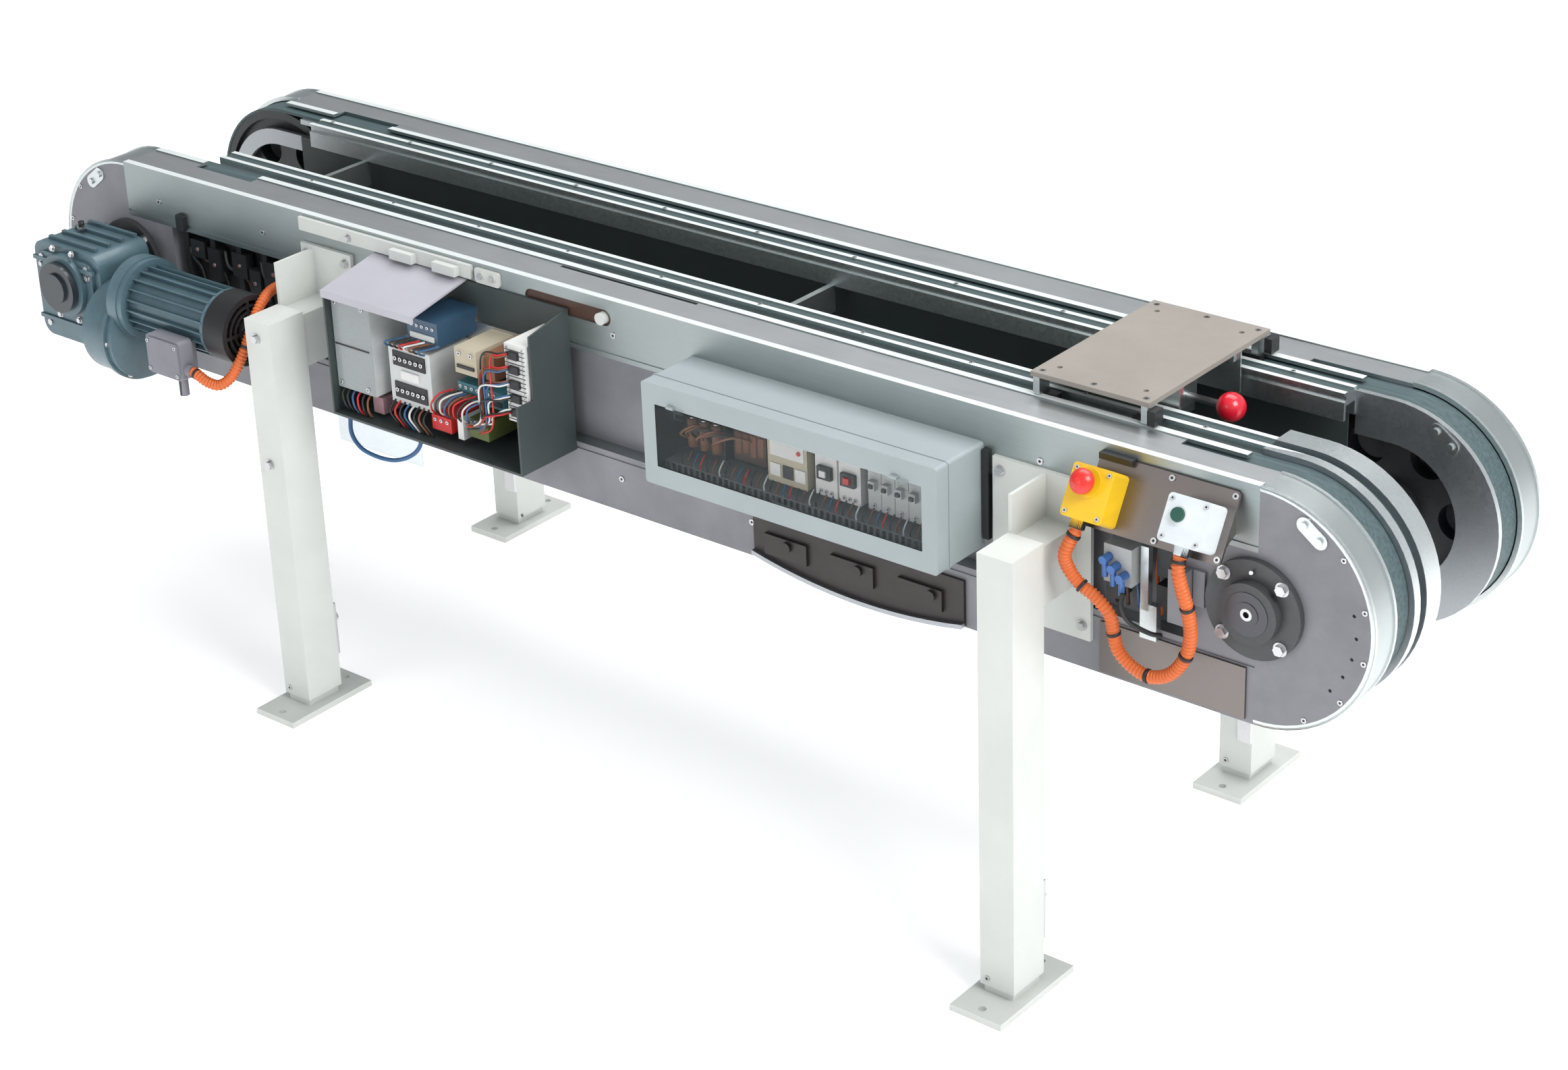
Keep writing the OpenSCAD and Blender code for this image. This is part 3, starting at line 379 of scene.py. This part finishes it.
def repaint(node, look, test):
    """Gives the faces of a CAD node whose (centre in mm, normal) pass the test another look."""
    mesh = NODES[node].data
    index = mesh.materials.find(M[look].name)
    if index < 0:
        mesh.materials.append(M[look])
        index = len(mesh.materials) - 1
    for face in mesh.polygons:
        if test(face.center / MM, face.normal):
            face.material_index = index


def within(x0, x1, y0=-math.inf, y1=math.inf, z0=-math.inf, z1=math.inf):
    return lambda c, n: x0 <= c.x <= x1 and y0 <= c.y <= y1 and z0 <= c.z <= z1


def level(c, n, z, slack):
    """A face that looks up and lies at height z."""
    return n.z > 0.9 and abs(c.z - z) < slack


# Lips, sunk bands and grooves along the rails: painted highlight on the lips, painted shade on the side faces
# and painted shadow in the grooves
for side, rails, rims in ((-1, "near_rails", "near_end_rims"), (1, "far_rails", "far_end_rims")):
    # Painted shade: the rails' side faces take a darker copy of the rail aluminium, and below the axle the
    # outward face takes the darker grey paint.
    repaint(rails, "rail_face_shaded", lambda c, n: abs(n.y) > 0.9)
    repaint(rails, "grey", lambda c, n: n.y * side > 0.9 and c.z < AXLE_Z)
    # Painted highlight: the raised lips on top take a paler paint than the band, as edges that catch the
    # light.
    repaint(rails, "lip", lambda c, n: level(c, n, TOP, 0.3))
    repaint(rails, "band", lambda c, n: level(c, n, TOP - 2.5, 0.4))
    # Painted shadow: the sunk faces inside the rails take the dark groove paint.
    repaint(rails, "groove", lambda c, n: TOP - 32 < c.z < TOP - 6.2 and abs(c.y) < OUTER - 62)
    repaint(rims, "rail", lambda c, n: abs(n.y) < 0.5
            and math.hypot(abs(c.x) - AXLE_X, c.z - AXLE_Z) < END_R - 1.6)
for guide in ("near_inner_guide", "far_inner_guide"):
    # Painted highlight on the guides' top lips.
    repaint(guide, "lip", lambda c, n: level(c, n, TOP, 0.3) and abs(c.x) < RING_X - 1)
    repaint(guide, "ring", lambda c, n: abs(n.y) > 0.9 and c.x > RING_X or c.x < -1140)
    # Painted shadow: the guides' sunk top faces and the groove faces by the half rings take the dark groove
    # paint.
    repaint(guide, "groove", lambda c, n: level(c, n, TOP - 3, 0.4) and abs(c.x) < RING_X - 1)
    repaint(guide, "groove", lambda c, n: abs(c.x) > RING_X + 1 and 110 < abs(c.y) < 127.5 and abs(n.y) < 0.5
            and math.hypot(max(abs(c.x) - AXLE_X, 0), c.z - AXLE_Z) > 160)
# Painted shade: the ties' lower parts and outer faces take the dark sheet paint, darkening the channel under
# the guides.
repaint("channel_ties", "dark_sheet", lambda c, n: c.z < TOP - GUIDE_H - 49.5 or abs(c.y) > 120)

# Parts of the two electrical boxes, by where they stand
ENCLOSURE_LOOKS = (
    ("duct", within(0, 999, z0=700, z1=736)),
    ("beige", within(404, 486, z0=748)),
    ("module_white", within(500, 592.5, z0=748)),
    ("black_plastic", within(500, 600, -349, -340.1, 783, 807)),
    ("black_plastic", within(595, 604, z0=748)),
    ("black_plastic", within(205, 311, z0=740)),
    ("dark_brown", within(311, 381, z0=740)),
    ("steel", within(0, 999, y0=-279, z0=770, z1=815)))
TERMINAL_LOOKS = (
    ("cover_clear", within(-571, -473, z0=690)),
    ("relay", within(-449, -343.5, z0=687, z1=801)),
    ("relay_top", within(-399, -322, z0=815, z1=863)),
    ("beige", within(-283, -228, z0=783, z1=833)),
    ("brown", within(-227, -203, z0=775, z1=827)),
    ("teal_part", within(-284, -173, z0=732, z1=766)),
    ("module_white", within(-161, -111, z0=721)),
    ("black_plastic", within(-150, -124, -375, -368.1, 730, 870)),
    ("wire_red", within(-345, -295, z0=661, z1=691)),
    ("wire_white", within(-281, -265, z0=657, z1=697)),
    ("olive", within(-255, -207, z0=667, z1=705)),
    ("pink", within(-501, -473.5, z0=651, z1=685)),
    ("steel", within(-572, -108, y0=-275)))
for node, looks in (("enclosure_modules", ENCLOSURE_LOOKS), ("terminal_parts", TERMINAL_LOOKS)):
    for look, test in looks:
        repaint(node, look, test)
# Painted shade: the shell's inside faces take black plastic, so the box looks dark through its window.
repaint("enclosure_shell", "black_plastic",
        lambda c, n: -386 < c.y < -264 and 175 < c.x < 775 and 705 < c.z < 884)

# Slot insert, sensor knobs and the dark strip beside the enclosure, a painted shadow in the gap between box
# and bracket
KNOBS_X = (-640, -306, -278)
repaint("box_bracket", "dark_brown", lambda c, n: c.y > -258.5 and c.z > 880 and c.x < 10)
repaint("box_bracket", "steel", lambda c, n: c.y < -270.5 and c.z > 915
        and min(abs(c.x - x) for x in KNOBS_X) < 11)
# Painted shadow: the bracket's faces in the gap beside the enclosure take the black casting paint.
repaint("box_bracket", "black", within(780, 794))

# Drive end
repaint("drive_brackets", "blue", within(-805, -772, z0=790))
repaint("motor_terminal_box", "black_plastic", within(-1000, -900, z1=647))
repaint("motor_rotor", "black_plastic",
        lambda c, n: c.x > -852 and math.hypot(c.y - MOTOR.y, c.z - MOTOR.z) > 10)
repaint("gearbox_cover", "steel", within(-1400, -1371, z0=790))

# Operator end and the plate under the enclosure
repaint("air_fittings", "module_grey", lambda c, n: c.y > -302.5 and c.x < 1081)
repaint("air_fittings", "grey", within(1130, 1170))
repaint("switch_plate", "bright", within(1077, 1109, z1=812))
repaint("switch_plate", "black", within(1001, 1063, -280, -262, 923, 935))
for box, gland_top, gland_x in (("estop_box", 846, 1009), ("start_box", 851, 1192)):
    repaint(box, "black_plastic", lambda c, n: c.z < gland_top and abs(c.x - gland_x) < 14 and c.y < -330)
repaint("tensioner", "ring", lambda c, n: c.y < -268.5 and c.x > 0 and c.z < 566)
repaint("tensioner", "clear_guard", within(-721, -499))

# Carrier
repaint("carrier_frame", "black",
        lambda c, n: (c.z < TOP + 2 and 147 < abs(c.y) < 166) or c.x > CARRIER_EDGE + 0.2)
repaint("latch_knob", "knob", lambda c, n: c.x > CARRIER_EDGE + 14.5)


# ---- detail pieces ----

class Piece:
    """One new mesh of boxes, rods and tubes, in millimetres, riding on a CAD body. Its shapes take the
    piece's own look unless they name another."""

    def __init__(self, name, slot, look="steel", body="frame"):
        self.name, self.slot, self.looks, self.body = name, slot, [look], body
        self.bm = bmesh.new()

    def paint(self, faces, look, smooth=False):
        look = look or self.looks[0]
        if look not in self.looks:
            self.looks.append(look)
        for face in faces:
            face.material_index = self.looks.index(look)
            face.smooth = smooth

    def box(self, x0, x1, y0, y1, z0, z1, look=None):
        made = bmesh.ops.create_cube(self.bm, size=1.0)["verts"]
        for v in made:
            v.co = Vector(((x0, x1)[v.co.x > 0], (y0, y1)[v.co.y > 0], (z0, z1)[v.co.z > 0])) * MM
        self.paint({f for v in made for f in v.link_faces}, look)

    def rod(self, start, end, r, look=None, sides=20):
        """A rod with flat ends; over 8 sides it is shaded round."""
        start, end = Vector(start), Vector(end)
        made = bmesh.ops.create_cone(self.bm, cap_ends=True, segments=sides, radius1=r * MM,
                                     radius2=r * MM, depth=(end - start).length * MM)["verts"]
        turn = (end - start).to_track_quat("Z", "Y")
        for v in made:
            v.co = turn @ v.co + (start + end) / 2 * MM
        faces = {f for v in made for f in v.link_faces}
        self.paint(faces, look, sides > 8)
        for face in faces:
            if len(face.verts) > 4:
                face.smooth = False

    def screw(self, place, out, r, look=None, recess="black_plastic", height=None):
        """A socket-head screw: a head, and a hexagon on it that stands for the recess, by default black as
        painted shade in the socket.
        """
        place, out = Vector(place), Vector(out).normalized()
        height = r * 0.6 if height is None else height
        self.rod(place, place + out * height, r, look)
        self.rod(place + out * height, place + out * (height + 0.15), r * 0.5, recess, sides=6)

    def ring(self, place, out, r0, r1, height, look=None, sides=40):
        """A flat washer from radius r0 to r1."""
        place, out = Vector(place), Vector(out).normalized()
        turn = out.to_track_quat("Z", "Y")
        loops = [[self.bm.verts.new((place + out * h + turn @ Vector((*on_circle(r, degrees), 0))) * MM)
                  for degrees in (360 * k / sides for k in range(sides))]
                 for r, h in ((r0, 0), (r1, 0), (r1, height), (r0, height))]
        for a, b in zip(loops, loops[1:] + loops[:1]):
            self.paint(self.band(a, b), look)

    def hex(self, place, out, r, look=None):
        """A hexagon bolt head on its washer."""
        place, out = Vector(place), Vector(out).normalized()
        self.rod(place, place + out * 1.5, r * 1.25, look)
        self.rod(place + out * 1.5, place + out * (1.5 + r * 0.75), r, look, sides=6)

    def band(self, a, b):
        """Faces between two loops of the same number of vertices."""
        count = len(a)
        return [self.bm.faces.new((a[k], a[(k + 1) % count], b[(k + 1) % count], b[k])) for k in range(count)]

    def tube(self, points, r, look=None, sides=10, ribs=0.0, pitch=6.0):
        """A smooth tube through the points; ribs is the height of its rings and pitch their spacing."""
        line = smooth_line(points, pitch / 6 if ribs else 4.0)
        rings, along, side = [], 0.0, None
        for i, at in enumerate(line):
            heading = (line[min(i + 1, len(line) - 1)] - line[max(i - 1, 0)]).normalized()
            if side is None:
                side = heading.orthogonal().normalized()
            side = (side - heading * side.dot(heading)).normalized()
            up = heading.cross(side)
            if i:
                along += (at - line[i - 1]).length
            radius = r - ribs / 2 + ribs / 2 * math.cos(2 * math.pi * along / pitch)
            rings.append([self.bm.verts.new((at + radius * (math.cos(a) * side + math.sin(a) * up)) * MM)
                          for a in (2 * math.pi * k / sides for k in range(sides))])
        for a, b in zip(rings, rings[1:]):
            self.paint(self.band(a, b), look, True)
        self.paint([self.bm.faces.new(rings[0][::-1]), self.bm.faces.new(rings[-1])], look)

    def done(self):
        mesh = bpy.data.meshes.new(self.name)
        bmesh.ops.recalc_face_normals(self.bm, faces=self.bm.faces)
        self.bm.to_mesh(mesh)
        self.bm.free()
        for look in self.looks:
            mesh.materials.append(M[look])
        obj = bpy.data.objects.new(self.name, mesh)
        scene.collection.objects.link(obj)
        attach(obj, self.body)
        return obj


def smooth_line(points, step):
    """Catmull-Rom curve through the points, cut into steps of about that length."""
    points = [Vector(p) for p in points]
    padded = [points[0] * 2 - points[1], *points, points[-1] * 2 - points[-2]]
    line = [points[0]]
    for a, b, c, d in zip(padded, padded[1:], padded[2:], padded[3:]):
        count = max(1, round((c - b).length / step))
        for i in range(1, count + 1):
            t = i / count
            line.append(0.5 * (2 * b + (c - a) * t + (2 * a - 5 * b + 4 * c - d) * t * t
                               + (3 * b - a - 3 * c + d) * t ** 3))
    return line


# Cables, along the routes of their CAD solids
CONDUIT_ROUTE = [
    (1009, -346, 835), (1008, -350, 828), (1001, -355, 811), (994, -355, 790), (996, -348, 766),
    (1012, -342, 742), (1040, -338, 724), (1064, -336, 700), (1070, -334, 670), (1078, -334, 644),
    (1102, -334, 624), (1136, -334, 616), (1172, -334, 632), (1196, -332, 666), (1206, -334, 706),
    (1206, -342, 750), (1199, -351, 794), (1194, -353, 818), (1192, -349.2, 835.6), (1192, -345.7, 841.7)]
MOTOR_ROUTE = [
    (-871, -475, 676), (-854, -475, 671), (-834, -473, 663), (-810, -466, 661), (-790, -453, 678),
    (-780, -434, 710), (-778, -412, 746), (-779, -392, 778), (-781, -368, 802), (-786, -340, 813),
    (-788, -306, 814)]
BLUE_ROUTE = [
    (-554, -380, 640), (-556, -382, 622), (-552, -386, 604), (-539, -390, 590), (-518, -393, 580),
    (-490, -394, 576), (-462, -394, 576), (-434, -393, 580), (-408, -390, 590), (-388, -386, 604),
    (-377, -382, 620), (-373, -380, 640)]
for name, node, route, r, ribs, slot, look in (
        ("conduit_ribbed", "orange_conduit", CONDUIT_ROUTE, 11, 2.4, "conduit_orange", "orange"),
        ("motor_cable_ribbed", "motor_cable", MOTOR_ROUTE, 10.5, 2.0, "conduit_orange", "orange"),
        ("blue_loop_smooth", "blue_loop", BLUE_ROUTE, 4, 0.0, "cable_blue", "cable_blue")):
    cable = Piece(name, slot, look)
    cable.tube(route, r, ribs=ribs, sides=20, pitch=6.5)
    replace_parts(cable.done(), node)

ties = Piece("conduit_ties", "black_plastic", "black_plastic")
TIE_W = 5
for route, r, places in ((CONDUIT_ROUTE, 11.6, (0.02, 0.2, 0.36, 0.52, 0.68, 0.84, 0.98)),
                         (MOTOR_ROUTE, 10.6, (0.03, 0.5, 0.97))):
    line = smooth_line(route, 2.0)
    for share in places:
        i = min(len(line) - 3, max(2, round(share * len(line))))
        half = (line[i + 1] - line[i - 1]).normalized() * TIE_W / 2
        ties.rod(line[i] - half, line[i] + half, r)
ties.done()

# Wires in the open terminal box: to the strip, to the teal part, below and above the relay, in the duct
WIRE_LOOKS = ("wire_red", "wire_black", "wire_white", "cable_blue", "wire_brown")
wires = Piece("terminal_wires", "module_plastic", "wire_red")
for i, z in enumerate(row(741, 27, 5)):
    for k in range(3):
        reach = rng.uniform(-205, -170)
        wires.tube([(-148, -374, z + 3 * k), (-158, -388 + 2 * k, z + 3 * k - 2),
                    (reach, -392 + 3 * k, z - 14), (reach - 6, -388 + 2 * k, 720 - 4 * k),
                    (reach - 30 - 9 * k, -384, 706 - 5 * i)],
                   1.7, WIRE_LOOKS[(i + k) % 5], sides=8)
for i, x in enumerate(row(-338, 11, 9)):
    wires.tube([(x, -372, 690 + rng.uniform(-3, 3)), (x + 4, -386, 704), (x + 12, -392, 722 + 3 * (i % 3)),
                (x + 30, -388, 742), (x + 48, -370, 748)], 1.8, WIRE_LOOKS[i % 5], sides=8)
for x, below, above in zip(row(-440, 12, 8), (1, 0, 1, 3, 2, 1, 4, 1), (3, 1, 1, 0, 2, 4, 1, 3)):
    wires.tube([(x, -370, 692), (x, -384, 684), (x + 3, -390, 674), (x + 10, -386, 660), (x + 16, -380, 646)],
               2.0, WIRE_LOOKS[below], sides=8)
    wires.tube([(x, -370, 796), (x, -384, 803), (x + 5, -390, 812), (x + 22, -386, 818), (x + 38, -370, 822)],
               1.8, WIRE_LOOKS[above], sides=8)
for i, tone in enumerate((1, 1, 3, 0, 1, 4)):
    wires.tube([(-560 + 13 * i, -380, 690), (-560 + 13 * i, -390, 680), (-553 + 12 * i, -392, 662),
                (-548 + 11 * i, -384, 646)], 2.0, WIRE_LOOKS[tone], sides=8)
wires.done()

# Terminal, relay and card fronts in the terminal box; each *_Y is the front face of a CAD part
STRIP_Y, RELAY_Y, BEIGE_Y, TEAL_Y, RED_Y, OLIVE_Y, COVER_Y = -368, -372, -370, -366, -378, -374, -388
fronts = Piece("terminal_fronts", "module_plastic")
for z in row(726, 8.2, 17):
    fronts.box(-159, -113, STRIP_Y - 1.2, STRIP_Y, z, z + 0.9, "black_plastic")
    for x in (-154, -118):
        fronts.screw((x, STRIP_Y, z + 4.4), NEAR, 2.2)
for z0, z1 in ((700, 730), (762, 790)):
    fronts.box(-436, -356, RELAY_Y - 2.5, RELAY_Y, z0, z1, "black_plastic")
fronts.box(-418, -374, RELAY_Y - 3, RELAY_Y, 738, 754, "module_white")
for x in row(-429, 13, 6):
    for z in (715, 776):
        fronts.screw((x, RELAY_Y - 2.5, z), NEAR, 4)
fronts.box(-390, -331, STRIP_Y - 2.5, STRIP_Y, 826, 836, "relay")
for x in row(-386, 13, 5):
    fronts.screw((x, STRIP_Y, 850), NEAR, 3)
fronts.box(-276, -235, BEIGE_Y - 2.5, BEIGE_Y, 795, 801, "black_plastic")
for x in (-270, -242):
    fronts.screw((x, BEIGE_Y, 822), NEAR, 4)
for x in row(-281, 13.5, 8):
    fronts.screw((x + 5, TEAL_Y, 757), NEAR, 3.2)
    fronts.box(x, x + 11, TEAL_Y - 1, TEAL_Y, 738, 748, "black_plastic")
for x in row(0, 15, 3):
    fronts.screw((x - 335, RED_Y, 682), NEAR, 3.4)
    fronts.screw((x - 246, OLIVE_Y, 696), NEAR, 3.4)
for x in (-560, -492):
    for z in (702, 858):
        fronts.screw((x, COVER_Y, z), NEAR, 4)
fronts.box(-568, -481, COVER_Y - 1, COVER_Y, 776, 779, "black_plastic")
fronts.done()

# Inside the enclosure: slotted duct, coils, module fronts and their wires
DUCT_Y, COIL_Y, BROWN_Y, METER_Y, SWITCH_Y, FUSE_Y = -352, -330, -320, -344, -340, -336
inside = Piece("enclosure_fronts", "module_plastic")
for x in row(190, 12.6, 44):
    inside.box(x, x + 6, DUCT_Y - 1, DUCT_Y, 708, 730, "black_plastic")
for x in row(232, 26, 3):
    inside.rod((x, COIL_Y, 762), (x, COIL_Y, 812), 9, "brown")
    inside.rod((x, COIL_Y, 812), (x, COIL_Y, 816), 6)
for i, x in enumerate(row(316, 16, 4)):
    inside.box(x, x + 12, BROWN_Y - 1, BROWN_Y, 768 + 5 * (i % 2), 806, "wire_brown")
    inside.screw((x + 6, BROWN_Y - 1, 818), NEAR, 3.5)
for x, look in zip(row(410, 26, 3), ("module_white", "black_plastic", "module_white")):
    inside.box(x, x + 21, METER_Y - 2, METER_Y, 764, 786, look)
inside.box(410, 480, METER_Y - 1.5, METER_Y, 800, 830, "module_white")
inside.rod((470, METER_Y - 1.5, 815), (470, METER_Y - 3, 815), 4, "wire_red")
for x0, look in ((511, "module_white"), (559, "wire_red")):
    for x in row(x0, 11, 3):
        for z in (828, 760):
            inside.screw((x, SWITCH_Y, z), NEAR, 3.6)
    inside.box(x0 + 5, x0 + 17, SWITCH_Y - 12, SWITCH_Y - 8, 790, 801, look)
for x in row(617, 27, 5):
    for z in (828, 761):
        inside.screw((x, FUSE_Y, z), NEAR, 3.6)
    inside.box(x - 4, x + 4, FUSE_Y - 14, FUSE_Y - 10, 795, 801, "black_plastic")
MODULE_TONES = ("black_plastic", "wire_brown", "cable_blue", "wire_red", "black_plastic", "wire_brown",
                "module_white")
for i, x in enumerate(row(222, 13.6, 38)):
    look = MODULE_TONES[i % 7]
    inside.tube([(x, -338, 756), (x + 1, -348, 748), (x - 1, -350, 738), (x, -348, 728)], 1.5, look, sides=6)
    if i % 2:
        inside.tube([(x, -338, 832), (x, -348, 842), (x + 8, -346, 858), (x + 14, -330, 866)],
                    1.5, look, sides=6)
for i in range(7):
    inside.tube([(222 + 9 * i, -324, 770), (218 + 12 * i, -346, 786 + 5 * (i % 3)), (246 + 14 * i, -344, 806),
                 (268 + 14 * i, -322, 796)], 2.2, ("brown", "wire_brown", "black_plastic")[i % 3], sides=8)
inside.done()

# Screws on the guides, rails, end discs and legs. The guide has no strip at the near left end.
studs = Piece("frame_screws", "bright_steel")
STUD_Y = 130
for x in range(-1100, 1101, 220):
    for y in (-STUD_Y, STUD_Y):
        if x > -980 or y > 0:
            studs.screw((x, y, TOP), (0, 0, 1), 4.2, height=1.2)
for x in range(-1180, 1181, 295):
    for z in (TOP - 64, AXLE_Z - 136):
        for y, out in ((-OUTER, NEAR), (OUTER, FAR)):
            studs.screw((x, y, z), out, 5.5, height=2)
for end in (-1, 1):
    for degrees in (-62, -38, -12, 14, 40, 64):
        dx, dz = on_circle(END_R - 14, degrees)
        for y, out in ((-OUTER, NEAR), (OUTER, FAR)):
            studs.screw((end * (AXLE_X + dx), y, AXLE_Z + dz), out, 4.5, height=1.6)
leg_front = corners("near_left_leg")[0].y
far_leg_front = corners("far_left_leg")[0].y
for x, y in ((-731, leg_front), (909, leg_front), (-881, far_leg_front), (859, far_leg_front)):
    studs.screw((x, y, 40), NEAR, 5, height=2)
studs.done()

# Bright collars round the shaft ends, and grease nipples on the bearing flanges; the gearbox hides one
collars = Piece("shaft_collars", "bright_steel")
for end, side in ((-1, 1), (1, -1), (1, 1)):
    x, out = end * AXLE_X, (0, side, 0)
    collars.ring((x, side * (OUTER + 28), AXLE_Z), out, 20.5, 23, 0.8)
    collars.ring((x, side * (OUTER + 30), AXLE_Z), out, 5.2, 10, 0.4)
    collars.rod((x, side * (OUTER + 12), AXLE_Z + 62), (x, side * (OUTER + 20), AXLE_Z + 66), 3)
collars.done()

# Gearbox bolts, plug and breather, the adapter's bolts and the motor box's screws
drive = Piece("drive_screws", "bright_steel")
gear_low, gear_high = corners("gearbox_housing")
gear_front = gear_low.y + 12
ADAPTER_Z = 676
for degrees in range(0, 360, 45):
    dx, dz = on_circle(74, degrees + 22)
    drive.hex((-AXLE_X + dx, gear_front, AXLE_Z + dz), NEAR, 5.5)
for x in (-AXLE_X - 66, -AXLE_X + 66):
    for z in (652, 790):
        drive.hex((x, gear_front + 4, z), NEAR, 7)
breather = Vector((-AXLE_X - 40, -350, gear_high.z))
drive.rod(breather, breather + Vector((0, 0, 6)), 9, sides=6)
drive.rod(breather + Vector((0, 0, 6)), breather + Vector((0, 0, 16)), 6, "black_plastic")
for degrees in range(0, 360, 60):
    dy, dz = on_circle(90, degrees)
    drive.hex((-AXLE_X + 166, MOTOR.y + dy, ADAPTER_Z + dz), (1, 0, 0), 4.5)
for x in (-970, -894):
    for z in (667, 723):
        drive.screw((x, corners("motor_terminal_box")[0].y, z), NEAR, 3.5)
drive.done()

# Wiring and small blocks in the open recesses beside the drive and under the buttons
clutter = Piece("recess_wiring", "black_plastic", "wire_black")
for i, x in enumerate(row(-1118, 34, 9)):
    clutter.tube([(x, -248, 812 - 9 * (i % 3)), (x + 12, -254, 786), (x + 30, -250, 760 + 12 * (i % 2)),
                  (x + 44, -254, 724), (x + 40, -248, 690 + 8 * (i % 4))],
                 4.0 - (i % 3), ("wire_black", "dark_brown", "wire_black")[i % 3])
for x, z, w, h in ((-1104, 786, 40, 36), (-1056, 748, 34, 66), (-986, 770, 40, 50), (-940, 742, 30, 52),
                   (-892, 776, 42, 44), (-846, 752, 30, 40)):
    clutter.box(x, x + w, -259, -240, z, z + h, "black")
    clutter.screw((x + w / 2, -259, z + h / 2), NEAR, 4, "steel", recess="orange")
for i, x in enumerate(row(1016, 20, 8)):
    clutter.tube([(x, -242, 812), (x + 4, -256, 788 - 6 * (i % 2)), (x - 6 + 3 * (i % 3), -250, 742),
                  (x + 8, -258, 706 + 5 * (i % 3)), (x + 2, -244, 672)], 3.6 - 0.4 * (i % 3),
                 ("wire_black", "dark_brown", "cable_blue", "wire_black", "orange")[i % 5])
for x, z, w, h, look in ((1104, 752, 26, 46, "black"), (1104, 700, 24, 36, "black"),
                         (1168, 720, 20, 60, "grey"), (1012, 690, 26, 34, "black")):
    clutter.box(x, x + w, -268, -234, z, z + h, look)
clutter.tube([(1078, -322, 736), (1080, -330, 716), (1090, -322, 690), (1112, -300, 668),
              (1120, -280, 658)], 4)
clutter.done()

# Screws and the stop's collar on the operator boxes, in the tilted plane of their plate
console = Piece("console_details", "bright_steel")
tilted = Matrix.Translation(Vector((0, -297, 876))) @ Matrix.Rotation(math.radians(-30), 4, "X")
out = (tilted.to_3x3() @ Vector(NEAR)).normalized()
STOP_DEPTH, START_DEPTH = 45, 50
for x0, x1, z0, z1, depth in ((986, 1060, -46, 38, STOP_DEPTH), (1159, 1233, -40, 34, START_DEPTH)):
    for x in (x0 + 8, x1 - 8):
        for z in (z0 + 8, z1 - 8):
            console.screw(tilted @ Vector((x, -depth, z)), out, 3.6)
for x in (1130, 1240):
    for z in (-44, 54):
        console.screw(tilted @ Vector((x, 0, z)), out, 5)
stop = [tilted @ Vector((1019, y, 11)) for y in (-STOP_DEPTH, -STOP_DEPTH - 3)]
console.rod(*stop, 24, "yellow", sides=40)
console.done()

# Countersunk screws in the carrier's plate
cart = Piece("carrier_details", "bright_steel", body="carrier")
plate_top = corners("carrier_plate")[1].z
for x in row(CARRIER.x - 96, 96, 3):
    for y in (-164, 164):
        cart.screw((x, y, plate_top - 1), (0, 0, 1), 5.5, height=1)
cart.done()

# ---- floor and light ----

FLOOR_HALF, FLOOR_Z = 30, -0.0005
floor_mesh = bpy.data.meshes.new("floor")
floor_corners = [(x * FLOOR_HALF, y * FLOOR_HALF, FLOOR_Z) for x, y in ((-1, -1), (1, -1), (1, 1), (-1, 1))]
floor_mesh.from_pydata(floor_corners, [], [(0, 1, 2, 3)])
floor = bpy.data.objects.new("floor", floor_mesh)
scene.collection.objects.link(floor)
floor_graph = Graph("floor")
floor_graph.set(Base_Color=(0.9, 0.9, 0.9, 1), Roughness=0.9,
                Emission_Color=(1, 1, 1, 1), Emission_Strength=0.45)
floor_mesh.materials.append(floor_graph.material)

# Sky: darker towards -X, so that polished faces have something to mirror
world = bpy.data.worlds.new("World")
scene.world = world
world.use_nodes = True
sky = world.node_tree
split = sky.nodes.new("ShaderNodeSeparateXYZ")
shift = sky.nodes.new("ShaderNodeMapRange")
shift.inputs["From Min"].default_value = -1
ramp = sky.nodes.new("ShaderNodeValToRGB")
for element, place, color in zip(ramp.color_ramp.elements, (0.25, 0.85),
                                 ((0.42, 0.44, 0.46), (0.95, 0.97, 1.0))):
    element.position = place
    element.color = (*color, 1)
background = sky.nodes["Background"]
background.inputs["Strength"].default_value = 0.75
for source, target in (
        (sky.nodes.new("ShaderNodeTexCoord").outputs["Generated"], split.inputs["Vector"]),
        (split.outputs["X"], shift.inputs["Value"]), (shift.outputs["Result"], ramp.inputs["Fac"]),
        (ramp.outputs["Color"], background.inputs["Color"])):
    sky.links.new(source, target)
scene.view_settings.view_transform = "Standard"


def area_light(name, place, target, size, power):
    data = bpy.data.lights.new(name, "AREA")
    data.shape = "RECTANGLE"
    data.size, data.size_y = size
    data.energy = power
    light = bpy.data.objects.new(name, data)
    scene.collection.objects.link(light)
    light.location = place
    light.rotation_euler = (Vector(target) - Vector(place)).to_track_quat("-Z", "Y").to_euler()


area_light("key", (4.5, -1.0, 4.5), (0.2, 0, 0.7), (2.5, 2.5), 200)
area_light("fill", (-1.0, -5.5, 2.5), (-0.3, 0, 0.7), (4.0, 2.0), 60)
area_light("top", (0.0, 1.5, 5.0), (0, 0, 0.7), (5.0, 2.5), 150)
